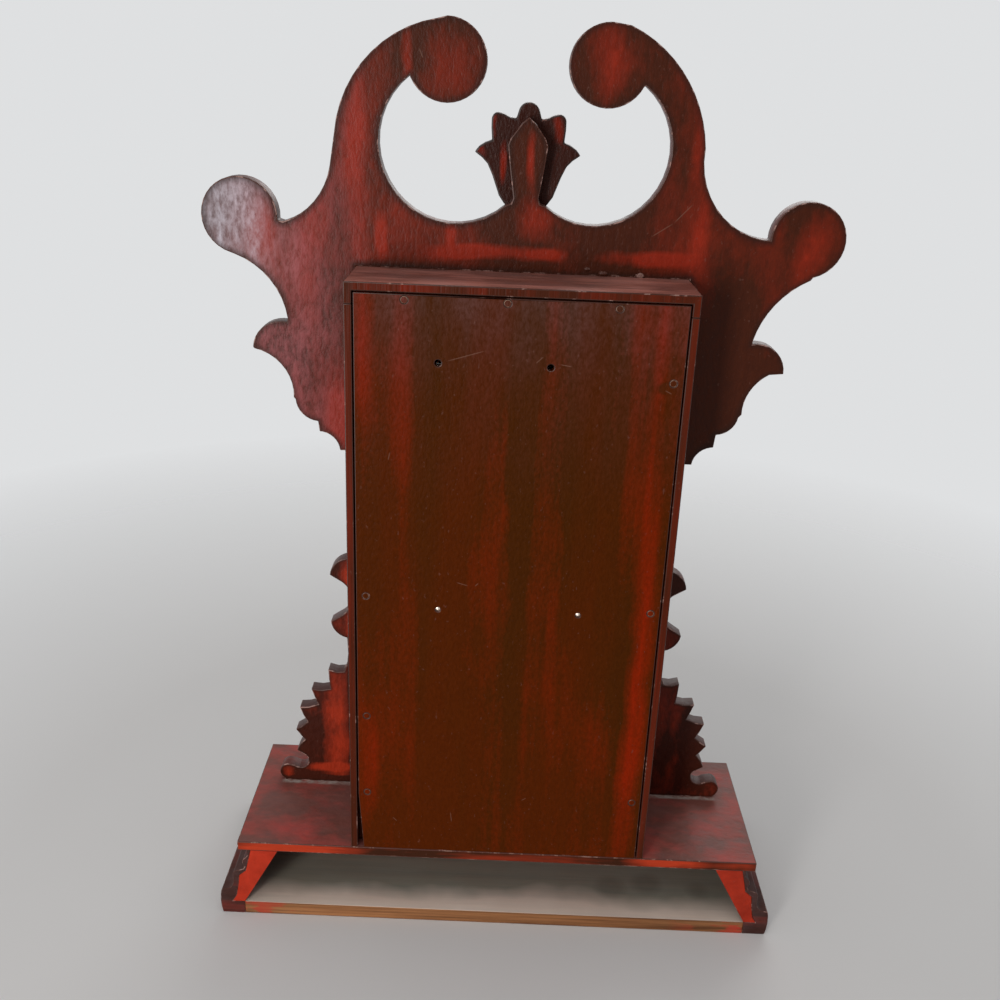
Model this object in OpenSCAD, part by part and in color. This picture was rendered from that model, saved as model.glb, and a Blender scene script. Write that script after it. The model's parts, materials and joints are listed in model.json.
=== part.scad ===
// Gingerbread kitchen clock, seen first from its back: pressed wood crest and side
// ornaments, a box case on a moulded base, glazed door, dial, and an eight day
// striking movement with pendulum and wire gong.
// Millimetres. +Z up, the dial faces -Y, the back is flat at +Y, floor at Z = 0.

/* [Case] */
// outside width of the box case
case_w = 190; // [176:1:214]
// height of the box case above the base
case_h = 367; // [345:1:400]
// depth of the box case without the door
case_d = 84; // [80:1:98]
// thickness of the case sides
side_t = 14; // [12:0.5:15]
// thickness of the case top
top_t = 12; // [10:0.5:13]
// thickness of the backboard
back_t = 8; // [6:0.5:9]
// width of the rabbet lip beside the backboard
lip_w = 4.3; // [3:0.1:6]
// open seam round the backboard
seam = 0.9; // [0.4:0.1:1.6]
// opening of the shrunken lower corner of the backboard
corner_gap = 3; // [1:0.5:4]

/* [Base] */
// width of the base top board
base_w = 339; // [320:1:360]
// depth of the base top board
base_d = 111; // [106:1:124]
// height of the whole base
base_h = 58.2; // [48:0.2:70]
// thickness of the base top board
base_top_t = 6.6; // [5:0.2:9]

/* [Crest and ornaments] */
// thickness of the crest board
crest_t = 10; // [7:0.5:13]
// distance of the crest board from the back plane
crest_back = 48; // [36:1:54]
// thickness of the palmette
palm_t = 10; // [6:0.5:12]
// thickness of the side ornaments
orn_t = 10; // [7:0.5:11]
// distance of the side ornaments from the back plane
orn_back = 68.4; // [60:0.2:70]

/* [Door] */
// thickness of the door frame
door_t = 16; // [14:0.5:18]
// width of the door stiles
stile_w = 22; // [21:0.5:24]
// height of the door rails
rail_h = 24; // [20:0.5:30]
// free gap between the case front and the door
door_gap = 1.6; // [1.6:0.1:2]
// thickness of the glass
glass_t = 2; // [1.5:0.1:3]
// height of the latch above the base top
latch_h = 182; // [150:1:200]

/* [Dial and hands] */
// dial centre below the case top
dial_drop = 103.2; // [100:0.2:110]
// free edge between the dial and the case sides
dial_edge = 5; // [4:0.5:7]
// length of the minute hand
minute_l = 58; // [50:1:60]
// length of the hour hand
hour_l = 40; // [34:1:46]

/* [Movement] */
// thickness of the movement plates
plate_t = 1.6; // [1.2:0.1:2]
// half distance of the two winding arbors
wind_x = 31; // [30:0.2:32]
// winding arbors below the centre arbor
wind_drop = 32; // [31:0.2:33]
// strip thickness of the mainsprings
spring_t = 0.5; // [0.3:0.05:0.6]

/* [Pendulum and gong] */
// bob centre below the suspension
pend_l = 203; // [180:1:215]
// radius of the bob
bob_r = 19; // [15:0.5:22]
// gong centre above the base top
gong_h = 62; // [56:1:66]
// outer radius of the gong coil
gong_r = 44; // [40:0.5:46]
// radius of the gong wire
gong_wire = 1.1; // [0.8:0.1:1.3]

/* [Fits] */
// radial running clearance of turning pieces
run = 0.05; // [0.02:0.01:0.08]

/* [Hidden] */
$fn = 48;
e = 0.4;
// base moulding, outward from the top board edge, and heights of a 58.2 base
foot_u = 13.2;
base_z = base_h - base_top_t;
bz = base_z / 51.6;
bottom_t = 9.5 * bz;
y_back = (base_d + foot_u) / 2;
y_edge = y_back - base_d;
hb = base_w / 2;
// case
hw = case_w / 2;
hi = hw - side_t;
z0 = base_h;
z1 = base_h + case_h;
zt = z1 - top_t;
y_cf = y_back - case_d;
y_bi = y_back - back_t;
back_hw = hw - lip_w - seam;
back_top = z1 - 4.8 - seam;
k = case_w / 190;
// door
y_db = y_cf - door_gap;
y_df = y_db - door_t;
door_hw = hw - 2;
dz0 = z0 + 1.8;
dz1 = z1 - 2.2;
hx = hw + 2.2;
hy = y_cf - door_gap / 2;
knuckle = 1.9;
hinge_z = [z0 + 62, z1 - 92];
reb = 3;
y_gl = y_df + 6.5;
latch_x = -(hi - 2.7);
latch_z = z0 + latch_h;
// dial and movement places
cz = z1 - dial_drop;
y_dial = y_cf + 11.1;
dial_t = 0.8;
dial_r = hi - dial_edge;
y_pb = y_dial + dial_t;
y_fp = y_pb + 18;
y_fi = y_fp + plate_t;
y_bp = y_fi + 34.4;
y_bo = y_bp + plate_t;
wz = cz - wind_drop;
// pitch radii of wheels and pinions
main_n = 72;
main_m = 0.75;
sec_n = 60;
sec_m = 0.6;
cen_n = 64;
cen_m = 0.5;
thi_n = 72;
thi_m = 0.4;
sth_n = 56;
sth_m = 0.5;
esc_n = 45;
esc_r = 16;
d_ms = main_m * (main_n + 10) / 2;
d_sc = sec_m * (sec_n + 10) / 2;
d_ct = cen_m * (cen_n + 7) / 2;
d_te = thi_m * (thi_n + 7) / 2;
d_sf = sth_m * (sth_n + 7) / 2;
function meet(p, rp, q, rq, s) =
    let (d = norm(q - p), a = (rp * rp - rq * rq + d * d) / (2 * d))
    let (h = sqrt(rp * rp - a * a), u = (q - p) / d)
    p + a * u + s * h * [-u[1], u[0]];
function polar(p, r, a) = p + r * [cos(a), sin(a)];
function way(p, q) = atan2(q[1] - p[1], q[0] - p[0]);
c_pos = [0, cz];
tm_pos = [wind_x, wz];
ts_pos = meet(tm_pos, d_ms, c_pos, d_sc, -1);
es_pos = [0, cz + 33];
th_pos = meet(c_pos, d_ct, es_pos, d_te, 1);
sm_pos = [-wind_x, wz];
ss_pos = polar(sm_pos, d_ms, 100);
st_pos = polar(ss_pos, d_sc, 80);
fl_pos = polar(st_pos, d_sf, 60);
mw_pos = polar(c_pos, 12, 215);
vg_pos = [0, cz + 56];
su_pos = [0, cz + 70];
hm_pos = [-50, cz - 82];
pil = [[57, cz - 72], [54, cz + 34]];
feet_low = [[-41.5, cz - 88.4], [41.5, cz - 88.4]];
feet_top = [[-52, cz + 16], [52, cz + 16]];
y_rod = y_fp - 12;
y_hit = y_bp - 4;
gz = z0 + gong_h;
bob_z = su_pos[1] - pend_l;
holes = [[44, z1 - 42.2], [-17.2, z1 - 42.2]];
nails = [[62.6, back_top - 2.9], [7.5, back_top - 2.6], [-52, back_top - 3.1]];
nail_z = [[-1, z1 - 48.3], [1, z0 + 182.5], [-1, z0 + 178.6], [1, z0 + 100], [1, z0 + 43.5], [-1, z0 + 43.6]];

// Tools of the drawing
function arc(x, z, r, a, b, n) = [for (i = [0:n]) [x + r * cos(a + (b - a) * i / n), z + r * sin(a + (b - a) * i / n)]];

// a flat outline in X and Z, its rear face at y, t thick towards the front
module slab(y, t) {
    translate([0, y, 0]) rotate([90, 0, 0]) linear_extrude(t) children();
}

// a round bar along Y from y0 (front) to y1 (rear)
module bar(p, y0, y1, r) {
    translate([p[0], y1, p[1]]) rotate([90, 0, 0]) cylinder(r = r, h = y1 - y0);
}

// a box from one corner to the other
module box(a, b) {
    translate(a) cube(b - a);
}

// toothed disc with open crossings, one tooth pointing along ph
module toothed(n, m, ph, hub, arms) {
    difference() {
        polygon([for (i = [0:n - 1], j = [0:3])
            let (a = ph + 360 / n * (i + [-0.25, -0.07, 0.07, 0.25][j]))
            let (r = n * m / 2 + [-1.1, 0.9, 0.9, -1.1][j] * m)
            [r * cos(a), r * sin(a)]]);
        if (arms > 0) difference() {
            circle(r = n * m / 2 - 1.1 * m - 2);
            circle(r = hub);
            for (i = [0:arms - 1]) rotate(360 / arms * i) translate([0, -1.3]) square([n * m, 2.6]);
        }
    }
}

// wheel of a train at p, front face at y0
module wheel(p, y0, t, n, m, ph, hub, arms, bore) {
    translate([p[0], y0 + t, p[1]]) rotate([90, 0, 0]) difference() {
        linear_extrude(t) toothed(n, m, ph, hub, arms);
        if (bore > 0) translate([0, 0, -1]) cylinder(r = bore, h = t + 2);
    }
}

// lantern pinion at p from y0 to y1, a gap of its rods facing along ph
module lantern(p, y0, y1, n, m, ph, bore) {
    r = n * m / 2;
    difference() {
        union() {
            bar(p, y0, y0 + 0.8, r + m * 0.9);
            bar(p, y1 - 0.8, y1, r + m * 0.9);
            for (i = [0:n - 1]) bar(polar(p, r, ph + 360 / n * (i + 0.5)), y0 + 0.4, y1 - 0.4, m * 0.5, $fn = 8);
        }
        if (bore > 0) bar(p, y0 - 1, y1 + 1, bore);
    }
}

// arbor at p running in both plates
module arbor(p, r) {
    bar(p, y_fi + 0.4, y_bp - 0.4, r);
    bar(p, y_fp, y_bo, 0.7);
}

// Base
prof = concat([[-8.5, 51.6], [-6, 51.6], [-6.2, 47.2]], arc(-7.2, 41.6, 4.6, 60, -50, 7),
    [[-3.2, 36.3], [2.6, 34.3], [3.2, 33.9]], arc(2, 31.6, 2.2, 50, -10, 3),
    arc(10.4, 25.4, 6.3, 180, 265, 6), [[11.8, 18.9], [12.5, 17.5], [12.9, 14.9], [foot_u, 9.3], [12.8, 4], [11.9, 0]]);
core_line = [[5.1, 9.5], [2.3, 14.3], [0.8, 22.7], [-0.2, 31], [-4.7, 34.9], [-8.5, 51.6]];
function tall(p) = [for (q = p) [q[0], q[1] * bz]];

module moulding_2d() {
    polygon(tall(concat(prof, [[-3, 0], [-3, 9.5]], [for (i = [0:4]) core_line[i]])));
}

module core_2d() {
    polygon(tall(concat([[-3, 9.5]], core_line, [[-26.1, 51.6]])));
}

// plan of everything on the side pieces' half of the right front mitre
module side_plan() {
    linear_extrude(base_h) polygon([[hb - 40, y_edge + 40], [hb + 40, y_edge - 40],
        [hb + 40, y_back + 1], [hb - 40, y_back + 1]]);
}

module side_run() {
    intersection() {
        translate([hb, y_back, 0]) rotate([90, 0, 0]) linear_extrude(base_d + 30) children();
        side_plan();
    }
}

// glue is the open mitre left between front and side pieces
module front_run(glue) {
    intersection() {
        translate([-hb - 30, y_edge, 0]) rotate([90, 0, 90]) linear_extrude(2 * hb + 60) mirror([1, 0]) children();
        linear_extrude(base_h) polygon([[-hb + 40, y_edge + 40 - glue], [-hb - 40, y_edge - 40 - glue],
            [hb + 40, y_edge - 40 - glue], [hb - 40, y_edge + 40 - glue]]);
    }
}

module base_bottom_board() {
    color([0.72, 0.56, 0.38]) box([-hb + 3, y_edge + 3, 0], [hb - 3, y_back, bottom_t]);
}

module base_cores() {
    color([0.55, 0.13, 0.07]) {
        side_run() core_2d();
        mirror([1, 0, 0]) side_run() core_2d();
        front_run(0.2) core_2d();
    }
}

module base_moulding_right() {
    color([0.24, 0.14, 0.09]) side_run() moulding_2d();
}

module base_moulding_left() {
    color([0.24, 0.14, 0.09]) mirror([1, 0, 0]) side_run() moulding_2d();
}

module base_moulding_front() {
    color([0.24, 0.14, 0.09]) front_run(0) moulding_2d();
}

module base_top_board() {
    color([0.27, 0.14, 0.09]) box([-hb, y_edge, base_z], [hb, y_back, base_h]);
}

// Case
function nail_at(i) = i < 3 ? nails[i] : [nail_z[i - 3][0] * (hi + 3.2), nail_z[i - 3][1]];

module nail_holes() {
    for (i = [0:8]) bar(nail_at(i), y_back - 24 - e, y_back + e, 0.8 + run);
}

module side_right_solid() {
    difference() {
        box([hi, y_cf, z0], [hw, y_back, zt]);
        box([hi - e, y_bi, z0 - e], [hw - lip_w, y_back + e, zt + e]);
    }
}

module case_side_right() {
    color([0.25, 0.14, 0.09]) difference() {
        side_right_solid();
        nail_holes();
    }
}

module case_side_left() {
    color([0.25, 0.14, 0.09]) difference() {
        mirror([1, 0, 0]) side_right_solid();
        nail_holes();
        box([-hi - 8, y_cf + 3.4, latch_z - 4], [-hi + e, y_cf + 7.6, latch_z + 11]);
    }
}

module case_top_board() {
    color([0.25, 0.14, 0.09]) difference() {
        box([-hw, y_cf, zt], [hw, y_back, z1]);
        box([-hw + lip_w, y_bi, zt - e], [hw - lip_w, y_back + e, z1 - 4.8]);
        nail_holes();
    }
}

module backboard() {
    color([0.3, 0.13, 0.08]) difference() {
        slab(y_back, back_t) polygon([[-back_hw, z0], [back_hw - corner_gap, z0], [back_hw, z0 + 42],
            [back_hw, back_top], [-back_hw, back_top]]);
        nail_holes();
        for (i = [0:8]) bar(nail_at(i), y_back - 0.7, y_back + e, 2.1);
        for (p = holes) bar(p, y_bi - e, y_back + e, 1.9);
        for (p = feet_low) bar(p, y_bi - e, y_back + e, 1.5);
        for (p = feet_top) bar(p, y_bi - e, y_bi + 6.2 - e, 1.5);
        bar([-7, gz], y_bi - e, y_bi + 5, 1.5);
        bar([7, gz], y_bi - e, y_bi + 5, 1.5);
    }
}

module backboard_nails() {
    color([0.2, 0.18, 0.17]) for (i = [0:8]) {
        bar(nail_at(i), y_back - 24, y_back - 0.3, 0.8);
        bar(nail_at(i), y_back - 0.7, y_back - 0.1, 2.05);
    }
}

// Crest: half outlines for a case 190 wide, heights above the case top
crest_stem = [[0, 83.4], [3.6, 80.4], [9.6, 72.5], [11, 68.8], [9.4, 56], [7, 40.8], [8, 38]];
crest_ear = concat(arc(160, 25.3, 21.4, 184, -75, 24), arc(178, -37.2, 43.6, 109, 173, 8),
    arc(138.5, -50.7, 17.2, 101, 4, 9), arc(160, -77.2, 27.4, 101, 184, 9), arc(117.5, -79.2, 14.2, -4, -86, 8),
    [[117.7, -99.7]], arc(118, -112.2, 12.5, 100, 175.4, 7), [[95, -111.2], [95, 0]]);
slim_ear = concat(arc(159.3, 24.2, 21.1, 182, -75, 24), arc(186.8, -45.2, 52.7, 116, 167.7, 8),
    arc(138.5, -52.4, 17, 101, -1, 9), arc(160.6, -76.6, 26.6, 120, 184, 8), arc(119.3, -78.5, 13.2, -8, -86, 8),
    [[119.5, -99.7]], arc(120, -112.2, 12.5, 100, 175.4, 7), [[95, -111.2], [95, 0]]);
// Throat, disc, outer arm and neck; the scroll on the -X side is sawn slimmer
crest_full = concat(crest_stem, arc(39.5, 68.4, 42.5, -132, 53, 20), arc(45.2, 110.6, 21.6, -26, -270, 26),
    arc(39, 64.3, 67.5, 80, 6, 11), arc(148, 60.8, 39.8, 190, 252, 8), crest_ear);
crest_slim = concat(crest_stem, arc(37.4, 68.5, 41, -130, 53, 20), arc(41.5, 110.9, 21.5, -26, -270, 26),
    arc(24.1, 63.4, 73, 68, 6, 11), arc(140.5, 67.2, 44, 184, 261, 9), slim_ear);
palm_half = concat(arc(0, 84.9, 6, 90, 12, 6), [[7, 82.2], [10.6, 82.8], [13.4, 84.2]], arc(17, 81.5, 3.6, 98, 0, 5),
    [[20.6, 77], [20, 70.4], [23.8, 69], [27.1, 66.9], [29.5, 64], [25.2, 61], [22.1, 57.8], [19.3, 51.9],
    [17.3, 46.4], [15.2, 40.9], [12.2, 36.7], [9.4, 35], [0, 34]]);

module both_halves(p, q) {
    n = len(q);
    left = [for (i = [n - 1:-1:0]) if (q[i][0] > 0) [-q[i][0], q[i][1]]];
    scale([k, k]) polygon(concat(p, left));
}

module crest_board() {
    color([0.36, 0.11, 0.07]) translate([0, 0, z1]) slab(y_back - crest_back, crest_t) both_halves(crest_full, crest_slim);
}

module finial_palmette() {
    color([0.33, 0.12, 0.08]) translate([0, 0, z1]) slab(y_back - crest_back - crest_t, palm_t) both_halves(palm_half, palm_half);
}

// Side ornament: outward from the case side, heights above the base top
orn_line = concat([[0, 0], [56.7, 0]], arc(53.5, 6.8, 6.6, -60, 80, 8), arc(45.5, 16.6, 5.9, -50, -230, 10),
    [[47.6, 24.9], [45.6, 29.4], [41.6, 34.3], [44, 36.8], [47.8, 42.1], [44.2, 44.4], [39.4, 48.4], [41.8, 52.8],
    [44.7, 60], [38.4, 60.6], [31.9, 63.1], [34, 68.4], [36.3, 75], [29.6, 74.4], [23.2, 75.8], [23.9, 82],
    [24.4, 90.8], [18.6, 89.2], [13.6, 89.8], [11.4, 96], [10.7, 104]],
    arc(8.4, 129.1, 13.6, -78, -6, 6), arc(23, 145.1, 15, -128, -232, 8), arc(8.4, 161.1, 13.6, 4, 88, 8), [[0, 174.7]]);

module ornament() {
    slab(y_back - orn_back, orn_t) polygon(orn_line);
}

module side_ornament_right() {
    color([0.3, 0.13, 0.08]) translate([hw, 0, z0]) ornament();
}

module side_ornament_left() {
    color([0.3, 0.13, 0.08]) mirror([1, 0, 0]) translate([hw, 0, z0]) ornament();
}

// Hinges: five knuckles each, odd ones on the case
leaf_h = 40;
kn = leaf_h / 5;

module knuckles(z, first) {
    for (i = [first:2:4]) {
        translate([hx, hy, z + i * kn + 0.15]) cylinder(r = knuckle, h = kn - 0.3);
    }
}

module case_hinge_leaves() {
    color([0.72, 0.55, 0.25]) for (z = hinge_z) {
        union() {
            box([hi + 2, y_cf - 0.6, z], [hw - 1.2, y_cf, z + leaf_h]);
            for (i = [0:2:4]) box([hw - 1.3, y_cf - 0.6, z + i * kn + 0.15], [hx, y_cf, z + (i + 1) * kn - 0.15]);
            difference() {
                knuckles(z, 0);
                translate([hx, hy, z + 1]) cylinder(r = 0.85, h = leaf_h - 2);
            }
            translate([hx, hy, z + 0.5]) cylinder(r = 0.9, h = leaf_h - 1);
        }
    }
}

module door_hinge_leaves() {
    color([0.72, 0.55, 0.25]) for (z = hinge_z) {
        difference() {
            union() {
                box([hi + 2, y_db, z], [hw - 1.2, y_db + 0.6, z + leaf_h]);
                for (i = [1:2:3]) box([hw - 1.3, y_db, z + i * kn + 0.15], [hx, y_db + 0.6, z + (i + 1) * kn - 0.15]);
                knuckles(z, 1);
            }
            translate([hx, hy, z - 1]) cylinder(r = 0.9 + run, h = leaf_h + 2);
        }
    }
}

// Door
module stile() {
    difference() {
        box([door_hw - stile_w, y_df, dz0], [door_hw, y_db, dz1]);
        box([door_hw - stile_w - e, y_gl, dz0 + rail_h - reb], [door_hw - stile_w + reb, y_db + e, dz1 - rail_h + reb]);
        tenons(dz0);
        tenons(dz1 - rail_h);
    }
}

module tenons(z) {
    box([-door_hw + 8, y_df + 2, z + 5], [door_hw - 8, y_df + 6, z + rail_h - 5]);
}

module door_stile_right() {
    color([0.27, 0.14, 0.09]) stile();
}

module door_stile_left() {
    color([0.27, 0.14, 0.09]) difference() {
        mirror([1, 0, 0]) stile();
        bar([latch_x, latch_z], y_df - e, y_db + e, 1.8 + run);
    }
}

module rail(z, z_reb) {
    difference() {
        union() {
            box([-door_hw + stile_w, y_df, z], [door_hw - stile_w, y_db, z + rail_h]);
            tenons(z);
        }
        box([-door_hw + stile_w - e, y_gl, z_reb], [door_hw - stile_w + e, y_db + e, z_reb + reb + e]);
    }
}

module door_rail_bottom() {
    color([0.27, 0.14, 0.09]) rail(dz0, dz0 + rail_h - reb);
}

module door_rail_top() {
    color([0.27, 0.14, 0.09]) rail(dz1 - rail_h, dz1 - rail_h - e);
}

gx = door_hw - stile_w + reb - 0.2;
gz0 = dz0 + rail_h - reb + 0.2;
gz1 = dz1 - rail_h + reb - 0.2;

module door_glass() {
    color([0.8, 0.88, 0.88, 0.4]) box([-gx, y_gl, gz0], [gx, y_gl + glass_t, gz1]);
}

module door_beads() {
    color([0.22, 0.12, 0.08]) difference() {
        box([-gx, y_gl + glass_t, gz0], [gx, y_gl + glass_t + 4.5, gz1]);
        box([-gx + 2.6, y_gl, gz0 + 2.6], [gx - 2.6, y_db, gz1 - 2.6]);
    }
}

module latch_knob() {
    color([0.75, 0.6, 0.3]) union() {
        bar([latch_x, latch_z], y_df - 2.4, y_cf + 6.6, 1.8);
        bar([latch_x, latch_z], y_df - 2.4, y_df - 0.1, 5.2);
        translate([latch_x, y_df - 2, latch_z]) rotate([90, 0, 0]) rotate_extrude() polygon([[0, 0], [3, 0], [2.6, 2.4],
            [3.4, 4.4], [6.2, 5.6], [7, 7.4], [6.4, 9.4], [4, 10.8], [0, 11.2]]);
        box([latch_x - 2, y_cf + 4.6, latch_z], [latch_x + 2, y_cf + 6.6, latch_z + 9]);
    }
}

// Dial
cleat_h = 70;

module dial_cleats() {
    color([0.66, 0.5, 0.33]) for (s = [-1, 1]) {
        difference() {
            translate([s * (hi - 5), y_pb + 7, cz]) cube([10, 14, cleat_h], center = true);
            dial_screw_bores(0.9);
        }
    }
}

module dial_screw_bores(r) {
    for (s = [-1, 1], a = [-9, 9]) bar([s * (dial_r - 2.4) * cos(a), cz + (dial_r - 2.4) * sin(a)], y_dial - 1, y_pb + 8, r);
}

module dial_pan() {
    color([0.93, 0.9, 0.82]) difference() {
        bar(c_pos, y_dial, y_pb, dial_r);
        bar(c_pos, y_dial - 1, y_pb + 1, 5);
        for (s = [-1, 1]) bar([s * wind_x, wz], y_dial - 1, y_pb + 1, 5.5);
        dial_screw_bores(1);
    }
}

module dial_bezel() {
    color([0.76, 0.6, 0.28]) translate([0, y_dial, cz]) rotate([90, 0, 0]) rotate_extrude() polygon(concat(
        [[dial_r - 12, 0], [dial_r - 11.6, 0.9]], arc(dial_r - 7.8, 0.9, 2.7, 160, 10, 9), [[dial_r - 5, 0]]));
}

module dial_screws() {
    color([0.7, 0.56, 0.28]) for (s = [-1, 1], a = [-9, 9]) {
        p = [s * (dial_r - 2.4) * cos(a), cz + (dial_r - 2.4) * sin(a)];
        difference() {
            union() {
                bar(p, y_dial - 0.8, y_pb + 7, 0.85);
                bar(p, y_dial - 1, y_dial, 1.9);
            }
            box([p[0] - 2, y_dial - 2, p[1] - 0.25], [p[0] + 2, y_dial - 0.6, p[1] + 0.25]);
        }
    }
}

// Movement frame
plate_line = [[-64, cz - 96], [64, cz - 96], [64, cz + 44], [16, cz + 44], [14, cz + 78], [-14, cz + 78], [-16, cz + 44], [-64, cz + 44]];
pivots = [ts_pos, th_pos, es_pos, ss_pos, st_pos, fl_pos, hm_pos];

module plate_2d() {
    difference() {
        polygon(plate_line);
        translate([0, cz - 62]) square([40, 46], center = true);
        for (p = pivots) translate(p) circle(r = 0.7 + run);
        for (p = [tm_pos, sm_pos]) translate(p) circle(r = 3 + run);
        for (p = pil, s = [-1, 1]) translate([s * p[0], p[1]]) circle(r = 2 + run);
    }
}

module front_plate() {
    color([0.78, 0.62, 0.3]) {
        difference() {
            slab(y_fi, plate_t) plate_2d();
            bar(c_pos, y_fp - 1, y_fi + 1, 1.5 + run);
            bar(su_pos, y_fp - 1, y_fi + 1, 2 + run);
        }
        bar(mw_pos, y_fp - 8.4, y_fp + 0.2, 1);
        bar(vg_pos, y_fp - 10, y_fp + 0.2, 1);
    }
}

module back_plate() {
    color([0.78, 0.62, 0.3]) difference() {
        slab(y_bo, plate_t) plate_2d();
        bar(c_pos, y_bp - 1, y_bo + 1, 0.7 + run);
        for (p = concat(feet_low, feet_top)) bar(p, y_bp - 1, y_bo + 1, 2 + run);
    }
}

module plate_pillars() {
    color([0.62, 0.6, 0.57]) for (p = pil, s = [-1, 1]) {
        union() {
            bar([s * p[0], p[1]], y_fi, y_bp, 3);
            bar([s * p[0], p[1]], y_fp - 1, y_bo + 0.8, 2);
            bar([s * p[0], p[1]], y_fp - 3, y_fp, 3.6, $fn = 6);
        }
    }
}

// shouldered screws holding the movement off the backboard
module movement_screws() {
    color([0.6, 0.58, 0.55]) {
        for (p = feet_low) foot_screw(p, y_back - 0.2);
        for (p = feet_top) foot_screw(p, y_bi + 5.6);
    }
}

module foot_screw(p, tip) {
    union() {
        bar(p, y_bp - 2, y_bp, 3.6);
        bar(p, y_bp - 1, y_bo + 0.1, 2);
        bar(p, y_bo, y_bi, 3.4);
        bar(p, y_bo, tip, 1.5);
    }
}

module suspension_post() {
    color([0.78, 0.62, 0.3]) union() {
        bar(su_pos, y_fp - 9, y_fp, 3);
        bar(su_pos, y_fp - 1, y_fi, 2);
        bar(su_pos, y_fp - 14.4, y_fp - 8, 1.4);
        bar(su_pos, y_fp - 15.2, y_fp - 14.3, 2.4);
    }
}

// Gong
gong_turns = 5;
gong_in = 11;
rings = 24;
gong_n = gong_turns * rings;
gong_step = (gong_r - gong_in) / gong_turns;
function coil(i) = let (a = 90 + 360 * i / rings, r = gong_in + gong_step * i / rings) [r * cos(a), r * sin(a)];
gong_gap = gong_step - 2 * gong_wire;
echo(gong_gap = gong_gap);

module gong_coil() {
    pts = concat(
        [for (j = [0:5]) [gong_wire * cos(60 * j) - 0.01, y_hit + gong_wire * sin(60 * j), gz + 5]],
        [for (i = [1:gong_n], j = [0:5])
            let (c = coil(i), a = 90 + 360 * i / rings, q = gong_wire * cos(60 * j))
            [c[0] + q * cos(a), y_hit + gong_wire * sin(60 * j), gz + c[1] + q * sin(a)]]);
    faces = concat(
        [[for (j = [0:5]) j]],
        [for (i = [0:gong_n - 1], j = [0:5], h = [0, 1])
            let (a = i * 6 + j, b = i * 6 + (j + 1) % 6)
            h == 0 ? [a, a + 6, b] : [b, a + 6, b + 6]],
        [[for (j = [5:-1:0]) gong_n * 6 + j]]);
    color([0.3, 0.32, 0.36]) polyhedron(pts, faces);
}

module gong_block() {
    color([0.16, 0.16, 0.17]) difference() {
        union() {
            box([-11, y_bi - 5, gz - 9], [11, y_bi, gz + 9]);
            box([-5, y_hit - 3, gz - 5], [5, y_bi, gz + 5]);
            bar([-7, gz], y_bi - 6.4, y_bi + 4, 1.4);
            bar([7, gz], y_bi - 6.4, y_bi + 4, 1.4);
        }
    }
}

// Mainsprings: flat strip wound round the winding arbor, looped on a pillar
ms_turns = 7;
ms_in = 6;
ms_out = 24;
y_m0 = y_fi + 9.4;
y_m1 = y_m0 + 18;
function strip(i) = let (a = ms_a + 360 * i / rings, r = ms_in + (ms_out - ms_in) * i / (ms_turns * rings)) [r * cos(a), r * sin(a)];
ms_pil = pil[0] - tm_pos;
ms_a = way([0, 0], ms_pil) + 50;
ms_n = ms_turns * rings;
ms_gap = (ms_out - ms_in) / ms_turns - spring_t;
echo(ms_gap = ms_gap);

module spring_2d() {
    inner = [for (i = [0:ms_n]) strip(i)];
    outer = [for (i = [ms_n:-1:0]) strip(i) * (1 + spring_t / norm(strip(i)))];
    last = strip(ms_n);
    ta = way(last, ms_pil);
    polygon(concat(inner, outer));
    difference() {
        union() {
            translate(last) rotate(ta) square([norm(ms_pil - last), spring_t]);
            translate(ms_pil) circle(r = 3.9);
        }
        translate(ms_pil) circle(r = 3 + run);
    }
}

module mainsprings() {
    color([0.35, 0.38, 0.45]) {
        translate([tm_pos[0], 0, tm_pos[1]]) slab(y_m1, y_m1 - y_m0) spring_2d();
        mirror([1, 0, 0]) translate([tm_pos[0], 0, tm_pos[1]]) slab(y_m1, y_m1 - y_m0) spring_2d();
    }
}

// Hands and motion work
module minute_hand() {
    color([0.08, 0.08, 0.09]) slab(y_dial - 5.4, 0.8) difference() {
        translate(c_pos) union() {
            circle(r = 4.2);
            polygon([[-1.6, 0], [1.6, 0], [0.9, minute_l - 20], [-0.9, minute_l - 20]]);
            translate([0, minute_l - 18]) circle(r = 3.8);
            polygon([[-3, minute_l - 16], [3, minute_l - 16], [0.6, minute_l - 4], [0, minute_l], [-0.6, minute_l - 4]]);
        }
        translate(c_pos) circle(r = 1.9);
        translate(c_pos + [0, minute_l - 18]) circle(r = 1.7);
    }
}

module cannon_pinion() {
    color([0.75, 0.6, 0.3]) union() {
        lantern(c_pos, y_fp - 4.6, y_fp - 0.6, 12, 0.5, 215, 1.5 + run);
        difference() {
            union() {
                bar(c_pos, y_dial - 6.6, y_fp - 0.6, 1.9);
                bar(c_pos, y_dial - 5.4, y_dial - 4.6, 2.4);
                bar(c_pos, y_dial - 6.9, y_dial - 6.2, 3);
            }
            bar(c_pos, y_dial - 8, y_fp, 1.5 + run);
        }
    }
}

module minute_wheel() {
    color([0.78, 0.62, 0.3]) union() {
        wheel(mw_pos, y_fp - 3.2, 1.2, 36, 0.5, 35, 4, 0, 1 + run);
        lantern(mw_pos, y_fp - 8.2, y_fp - 4.4, 10, 0.48, 35, 1 + run);
        difference() {
            bar(mw_pos, y_fp - 5, y_fp - 0.4, 1.7);
            bar(mw_pos, y_fp - 9, y_fp, 1 + run);
        }
    }
}

module hour_wheel() {
    color([0.78, 0.62, 0.3]) union() {
        wheel(c_pos, y_fp - 6.9, 1.2, 40, 0.48, 215, 4, 0, 1.95 + run);
        difference() {
            bar(c_pos, y_dial - 3.4, y_fp - 5.7, 2.9);
            bar(c_pos, y_dial - 8, y_fp, 1.95 + run);
        }
    }
}

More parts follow.
